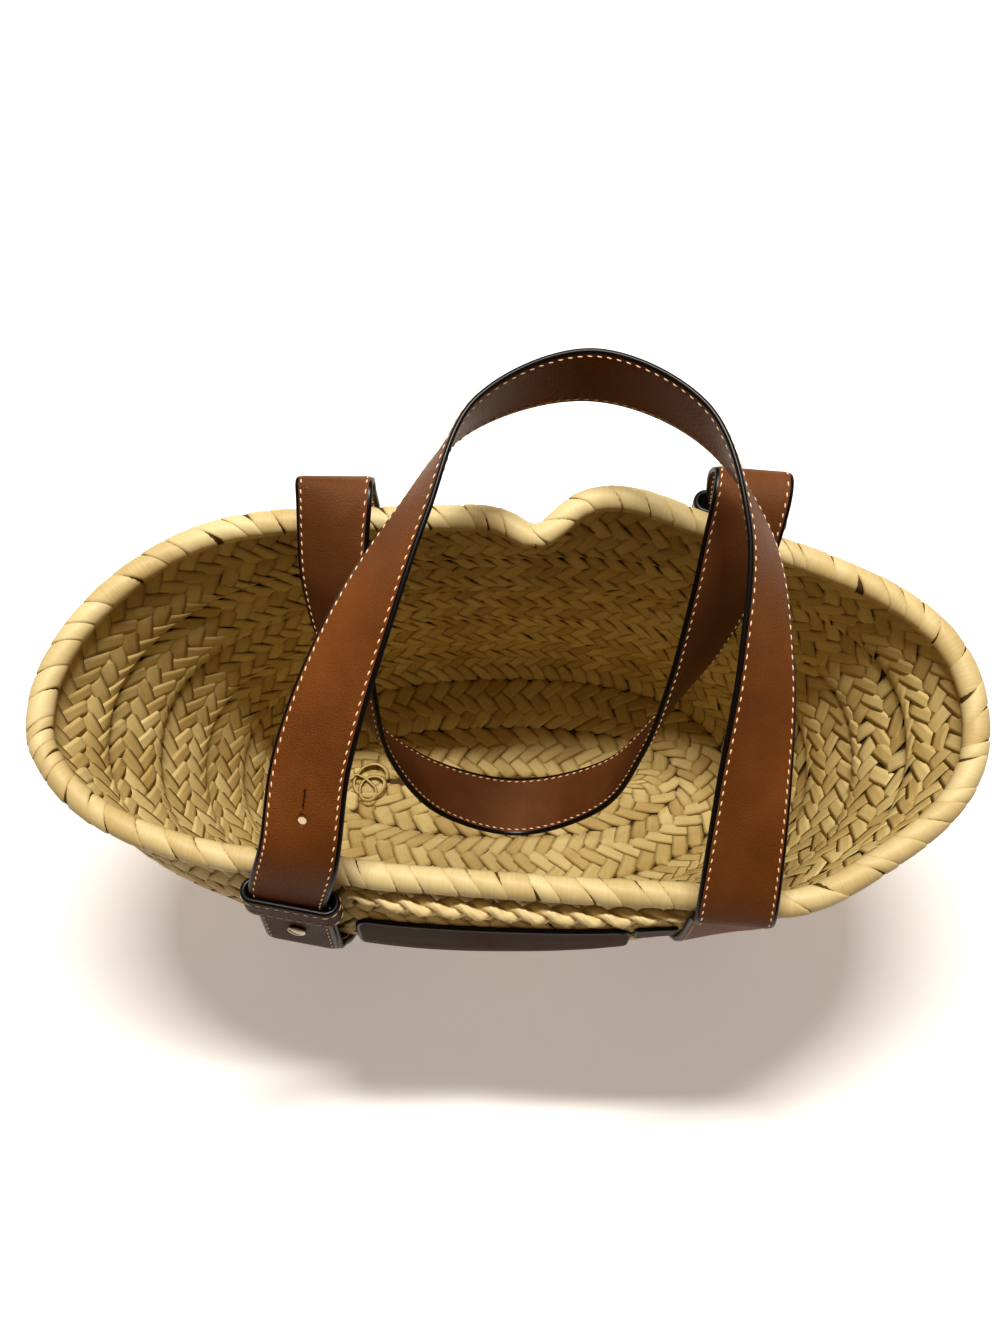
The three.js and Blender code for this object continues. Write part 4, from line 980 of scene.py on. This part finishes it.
def makeKeeper(name, clasp):
    # band section: a rounded slab carried round the path; its top and bottom edges take the paint
    half, thick, edge = strap["keeperHeight"] / 2, keeper["thick"], keeper["edge"]
    count = keeper["edgePoints"]
    turn = np.linspace(0, np.pi, count)
    top = np.stack([thick / 2 * (1 + np.cos(turn)), half - edge + edge * np.sin(turn)], -1)
    section = np.concatenate([top, np.stack([thick - top[:, 0], -top[:, 1]], -1)])
    pathX, pathY, angle, even = keeperPath(0.0, keeper["steps"])
    wide = pathX[:, None] + np.cos(angle)[:, None] * section[None, :, 0]
    deep = pathY[:, None] + np.sin(angle)[:, None] * section[None, :, 0]
    high = np.broadcast_to(section[None, :, 1], wide.shape)
    centre = clasp["at"](keeperMiddle, (anchorLift + tailLift) / 2)
    points = centre + clasp["across"] * wide[..., None] + clasp["out"] * deep[..., None]
    points = points + clasp["up"] * high[..., None]
    mirrored = np.cross(clasp["across"], clasp["out"]).dot(clasp["up"]) < 0
    faces = gridFaces(len(even), len(section), wrapRows=True, wrapColumns=True, flip=mirrored)
    slots = np.zeros((len(even), len(section)), int)
    slots[:, :count - 1] = 1
    slots[:, count:2 * count - 1] = 1
    uv = np.stack(np.broadcast_arrays(high, even[:, None]), -1)
    body = addMesh(name, points, [faces], uv=uv, materials=[shadedLeather, edgePaint], slots=slots.ravel())
    pathX, pathY, angle, _ = keeperPath(thick, int(keeper["around"] / keeper["pitch"]))
    out = clasp["across"] * np.cos(angle)[:, None] + clasp["out"] * np.sin(angle)[:, None]
    run = clasp["across"] * -np.sin(angle)[:, None] + clasp["out"] * np.cos(angle)[:, None]
    spots = centre + clasp["across"] * pathX[:, None] + clasp["out"] * pathY[:, None]
    rows = np.concatenate([spots + clasp["up"] * side * (half - keeper["stitchIn"]) for side in (-1, 1)])
    runs, outs = np.concatenate([run, run]), np.concatenate([out, out])
    seam = capsules(name + "Stitches", rows, runs, outs, keeper["stitchLength"], keeper["stitchThick"])
    return body, seam


# Studs: domed head with a screw slot, on a post through both straps
stud = {
    "height": 2.4, "domeRadius": 4.4, "domeFall": 0.72, "slotWide": 0.9, "slotDeep": 0.8, "slotSoft": 0.09,
    "slotRings": 10, "around": 48, "above": 0.1,
    "dome": [0.02, 0.4, 0.8, 1.2, 1.7, 2.3, 2.9, 3.4, 3.8, 4.1, 4.3],  # radii of the rings on the dome
    "below": [(4.3, 0.5), (3.9, 0.0), (2.0, -0.1), (2.0, -2 * layer), (0.02, -2 * layer)],  # side and post
}


def makeStudHead(name, clasp):
    # turned profile: post, flat seat, short side and dome, height = H sqrt(1 - 0.72 (r/R)^2), with a groove
    # along one diameter: depth / (1 + exp(distance past its edge / softness))
    profile = np.array([(radius, 0.0) for radius in stud["dome"]] + stud["below"])
    radii, heights = profile.T
    domed = np.arange(len(radii)) < len(stud["dome"])
    dome = stud["height"] * np.sqrt(1 - stud["domeFall"] * (radii / stud["domeRadius"]) ** 2)
    heights = np.where(domed, dome, heights)
    turn = np.arange(stud["around"]) / stud["around"] * 2 * np.pi
    x, y = radii[:, None] * np.cos(turn), radii[:, None] * np.sin(turn)
    past = np.abs(x * 0.5 + y * 0.87) - stud["slotWide"] / 2
    cut = (np.arange(len(radii)) < stud["slotRings"])[:, None] * stud["slotDeep"]
    z = heights[:, None] - cut / (1 + np.exp(past / stud["slotSoft"]))
    centre = clasp["at"](studHeight, tailLift + strap["thick"] / 2 + stud["above"])
    points = centre + clasp["across"] * x[..., None] + clasp["up"] * y[..., None]
    points = points + clasp["out"] * z[..., None]
    mirrored = np.cross(clasp["across"], clasp["up"]).dot(clasp["out"]) < 0
    faces = tubeFaces(len(radii), stud["around"], flip=not mirrored)
    return addMesh(name, points, faces, materials=[studMetal])


for prefix, clasp in (("front", frontClasp), ("back", backClasp)):
    band, seam = makeKeeper(prefix + "Keeper", clasp)
    head = makeStudHead(prefix + "Stud", clasp)
    for piece, kind in ((band, "keeper"), (seam, "keeper"), (head, "stud")):
        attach(piece, "root")
        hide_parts(prefix + "_" + kind)
print("stage: keepers and studs")


# Patch and tab: leather sheets that follow the front wall
sheetTop = wallTop - 25.7
patch = {"from": -73.0, "to": 59.0, "top": sheetTop, "height": 46.0, "thick": 2.4, "corner": 9.0, "edge": 1.1}
tab = {"from": 60.2, "to": 80.8, "top": sheetTop, "height": 14.0, "thick": 2.0, "corner": 2.0, "edge": 0.9}
wallReads = 44


def roundOver(distance, edge):  # share of full thickness at a distance from a rounded edge: a quarter circle
    return np.sqrt(np.clip(1 - (1 - np.minimum(distance / edge, 1)) ** 2, 0.01, 1))


def wallSheet(name, size, columns, rows, materials):
    # closed loops from the top edge down: along the face, back along the wall side, corners cut by arcs
    level = np.clip(0.5 - 0.5 * np.cos(np.linspace(0, np.pi, rows)), 0.004, 0.996) * size["height"]
    toEdge = np.minimum(level, size["height"] - level)
    short = np.clip(size["corner"] - toEdge, 0, None)
    trim = size["corner"] - np.sqrt(size["corner"] ** 2 - short ** 2)
    across = 0.5 - 0.5 * np.cos(np.linspace(0, np.pi, columns))
    xs = lerp(size["from"], size["to"], np.linspace(0, 1, wallReads + 1))
    heights = size["top"] - level
    outs = np.stack([readOutline(x, -1, heights) for x in xs])
    x = (size["from"] + trim)[:, None] + (size["to"] - size["from"] - 2 * trim)[:, None] * across[None]
    place = np.clip((x - xs[0]) / (xs[1] - xs[0]), 0, wallReads - 0.001)
    low = np.floor(place).astype(int)
    rowIndex = np.arange(rows)[:, None]
    out = lerp(outs[low, rowIndex], outs[low + 1, rowIndex], place - low)
    sideWays = np.minimum(x - x[:, :1], x[:, -1:] - x)
    thin = np.minimum(roundOver(sideWays, size["edge"]), roundOver(toEdge, size["edge"])[:, None])
    full = size["thick"] / 2 * thin
    middleOut = out + basket["wallGap"] + size["thick"] / 2
    z = np.broadcast_to(heights[:, None], x.shape)
    outer = np.stack([x, -(middleOut + full), z], -1)
    inner = np.stack([x, -(middleOut - full), z], -1)[:, ::-1]
    loops = np.concatenate([outer, inner], 1)
    near = np.minimum(sideWays, toEdge[:, None]) < size["edge"] * 0.9
    near = np.concatenate([near, near[:, ::-1]], 1)
    slots = np.append((near[:-1] | near[1:]).astype(int), [1, 1])  # faces by the edges and at both ends
    faces = tubeFaces(rows, 2 * columns, flip=True)
    return addMesh(name, loops, faces, uv=loops[..., [0, 2]], materials=materials, slots=slots)


patchSheet = wallSheet("frontPatch", patch, 40, 26, [shadedPatchLeather, edgePaint])
tabSheet = wallSheet("strapTab", tab, 14, 12, [shadedLeather, edgePaint])
for piece, cadNode, slotName in ((patchSheet, "front_patch", "patch"), (tabSheet, "strap_tab", "tab")):
    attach(piece, "root")
    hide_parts(cadNode)
print("stage: patch and tab")


# Twisted rope: two strands round each other, thinner at both ends
rope = {
    "diameter": 10.0, "pitch": 26.0, "steps": 260, "sides": 12, "endShare": 0.6, "taper": 0.2,
    "clearStart": 0.3, "strandOut": 0.24, "strandRadius": 0.27, "fromWall": 2.0, "drop": 3.6,
    "wallRead": 4.35, "seed": 5,
}


def makeRope():
    # strand: centre on a helix of radius 0.24 D, its own section a circle of 0.27 D with small leaf ridges
    first = -strap["claspAcross"] + keeperHalf + rope["clearStart"]
    last = strap["legAcross"] - strap["width"] / 2 - basket["wallGap"]
    x = np.linspace(first, last, rope["steps"])
    share = np.linspace(0, 1, rope["steps"])
    endward = np.clip(np.minimum(share, 1 - share) / rope["taper"], 0, 1)
    size = lerp(rope["endShare"], 1, endward) * rope["diameter"]
    shares = np.linspace(0.5, 1.0, basket["readPlaces"])
    level = (wallTop - rope["wallRead"]) / wallTop
    ring = wallMiddle(shares, level) + outwardFlat(shares, level) * (basket["wall"] / 2)
    y = np.interp(x, ring[:, 0], ring[:, 1]) - size / 2 - rope["fromWall"]
    z = np.full_like(x, wallTop - rope["drop"])
    rng = np.random.default_rng(rope["seed"])
    strand = np.arange(2)[:, None, None]
    phase = (x / rope["pitch"] * 2 * np.pi)[None, :, None] + strand * np.pi
    size = size[None, :, None]
    turn = (np.arange(rope["sides"]) / rope["sides"] * 2 * np.pi)[None, None, :]
    ridge = 1 + 0.10 * np.sin(5 * turn + strand) + 0.05 * np.sin(x[None, :, None] * 1.7 + 3 * turn)
    radius = size * rope["strandRadius"] * ridge
    py = y[None, :, None] + size * rope["strandOut"] * np.cos(phase) + radius * np.cos(turn + phase)
    pz = z[None, :, None] + size * rope["strandOut"] * np.sin(phase) + radius * np.sin(turn + phase)
    points = np.stack(np.broadcast_arrays(x[None, :, None], py, pz), -1)
    uv = np.stack(np.broadcast_arrays(turn * 2.2 + 40 * strand, x[None, :, None]), -1)
    tone = 0.5 + 0.3 * np.sin(uv[..., 0] * 1.3 + strand) + rng.normal(0, 0.05, uv.shape[:3])
    faces = tubeFaces(rope["steps"], rope["sides"], 2, flip=True)
    return addMesh("frontRope", points, faces, uv=uv, tone=np.clip(tone, 0, 1), materials=[strawRope])


ropePiece = makeRope()
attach(ropePiece, "root")
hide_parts("front_rope")
print("stage: rope")


# Curled straw knot on the base
knot = {
    "place": (-88.0, -3.0, 6.5), "size": 12.0, "turns": 2.6, "width": 3.6, "thick": 0.6, "steps": 110,
    "corners": [[-1, -1], [-1, 1], [0, 1.6], [1, 1], [1, -1], [0, -0.4]], "tone": 0.55,
}


def makeKnot():
    # flat leaf ribbon on a shrinking, uneven spiral, which leans over and narrows towards its end
    u = np.linspace(0, 1, knot["steps"])
    angle = u * knot["turns"] * 2 * np.pi
    radius = knot["size"] * (1 - 0.55 * u) * (1 + 0.22 * np.sin(1.7 * angle + 0.8))
    rise = 2.2 * np.sin(angle * 1.3) + 2.5 * u
    spiral = np.stack([radius * np.cos(angle), radius * np.sin(angle) * 0.8, rise], -1)
    centre = np.array(knot["place"]) + spiral
    centre = centre + np.stack([5 * np.sin(4.1 * u), 4 * np.sin(6.3 * u + 1), 0 * u], -1)
    out = unit(np.stack([np.cos(angle), np.sin(angle), np.full_like(u, 0.5)], -1))
    along = unit(np.gradient(centre, axis=0))
    across = unit(np.cross(along, out))
    half, deep = knot["width"] / 2 * (1 - 0.6 * u[:, None, None] ** 3), knot["thick"] / 2
    corner = np.array(knot["corners"])
    points = centre[:, None] + across[:, None] * (corner[:, 0][None, :, None] * half)
    points = points + out[:, None] * (corner[:, 1][None, :, None] * deep)
    uv = np.stack(np.broadcast_arrays(corner[:, 0][None, :] * 1.5, u[:, None] * 50), -1)
    tone = np.full(uv.shape[:2], knot["tone"])
    faces = tubeFaces(knot["steps"], len(corner))
    return addMesh("baseKnot", points, faces, uv=uv, tone=tone, materials=[strawInside])


knotPiece = makeKnot()
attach(knotPiece, "root")
print("stage: straw knot")


# Floor and light: a pale floor with a faint glow, long window light from high behind, a low warm surround
studio = {
    "floor": "#ffffff", "floorGlow": "#f6f4ff", "floorSize": 6000.0, "floorDrop": 0.2, "glow": 0.24,
    "keyPower": 28.0, "keyLong": 0.7, "keyShort": 0.07, "keyPlace": (-0.02, 0.57, 1.60),
    "keyTarget": (0.0, 0.0, 0.1), "keyTint": "#fffaf2", "world": 0.2, "worldTint": "#ffdcaa",
    "backdrop": "#f4f2ee",
}
floorSigns = np.array([[-1, -1], [1, -1], [1, 1], [-1, 1]])
floorPoints = np.insert(floorSigns * studio["floorSize"] / 2, 2, -studio["floorDrop"], axis=1)
floorGlow = {"Emission_Color": linear(studio["floorGlow"]), "Emission_Strength": studio["glow"]}
paleFloor = newMaterial("paleFloor", Base_Color=linear(studio["floor"]), Roughness=0.7, **floorGlow)[0]
floorPlane = addMesh("floor", floorPoints, [np.array([[0, 1, 2, 3]])], smooth=False, materials=[paleFloor])


def areaLight(name, place, target, size, power, colour):  # rectangular light that looks at its target
    data = bpy.data.lights.new(name, "AREA")
    data.shape = "RECTANGLE"
    data.energy = power
    data.color = linear(colour)[:3]
    data.size, data.size_y = size
    made = bpy.data.objects.new(name, data)
    made.location = place
    made.rotation_euler = (Vector(target) - Vector(place)).to_track_quat("-Z", "Y").to_euler()
    scene.collection.objects.link(made)


# its length softens the handles' shadows, its thinness keeps the rim's shadow
keySize = (studio["keyLong"], studio["keyShort"])
keyPlace, keyTarget = studio["keyPlace"], studio["keyTarget"]
areaLight("keyWindow", keyPlace, keyTarget, keySize, studio["keyPower"], studio["keyTint"])
world = bpy.data.worlds.new("studio")
scene.world = world
world.use_nodes = True
tree = world.node_tree
surround = tree.nodes["Background"]
surround.inputs["Color"].default_value = linear(studio["worldTint"])
surround.inputs["Strength"].default_value = studio["world"]
# the camera alone sees a plain pale backdrop
paper = node(tree, "ShaderNodeBackground", Color=linear(studio["backdrop"]), Strength=1.0).outputs[0]
direct = node(tree, "ShaderNodeLightPath").outputs["Is Camera Ray"]
backdrop = node(tree, "ShaderNodeMixShader", n0=direct, n1=surround.outputs[0], n2=paper).outputs[0]
tree.links.new(backdrop, tree.nodes["World Output"].inputs["Surface"])
scene.view_settings.view_transform = "Standard"
scene.view_settings.look = "Medium High Contrast"
print("stage: floor and light")
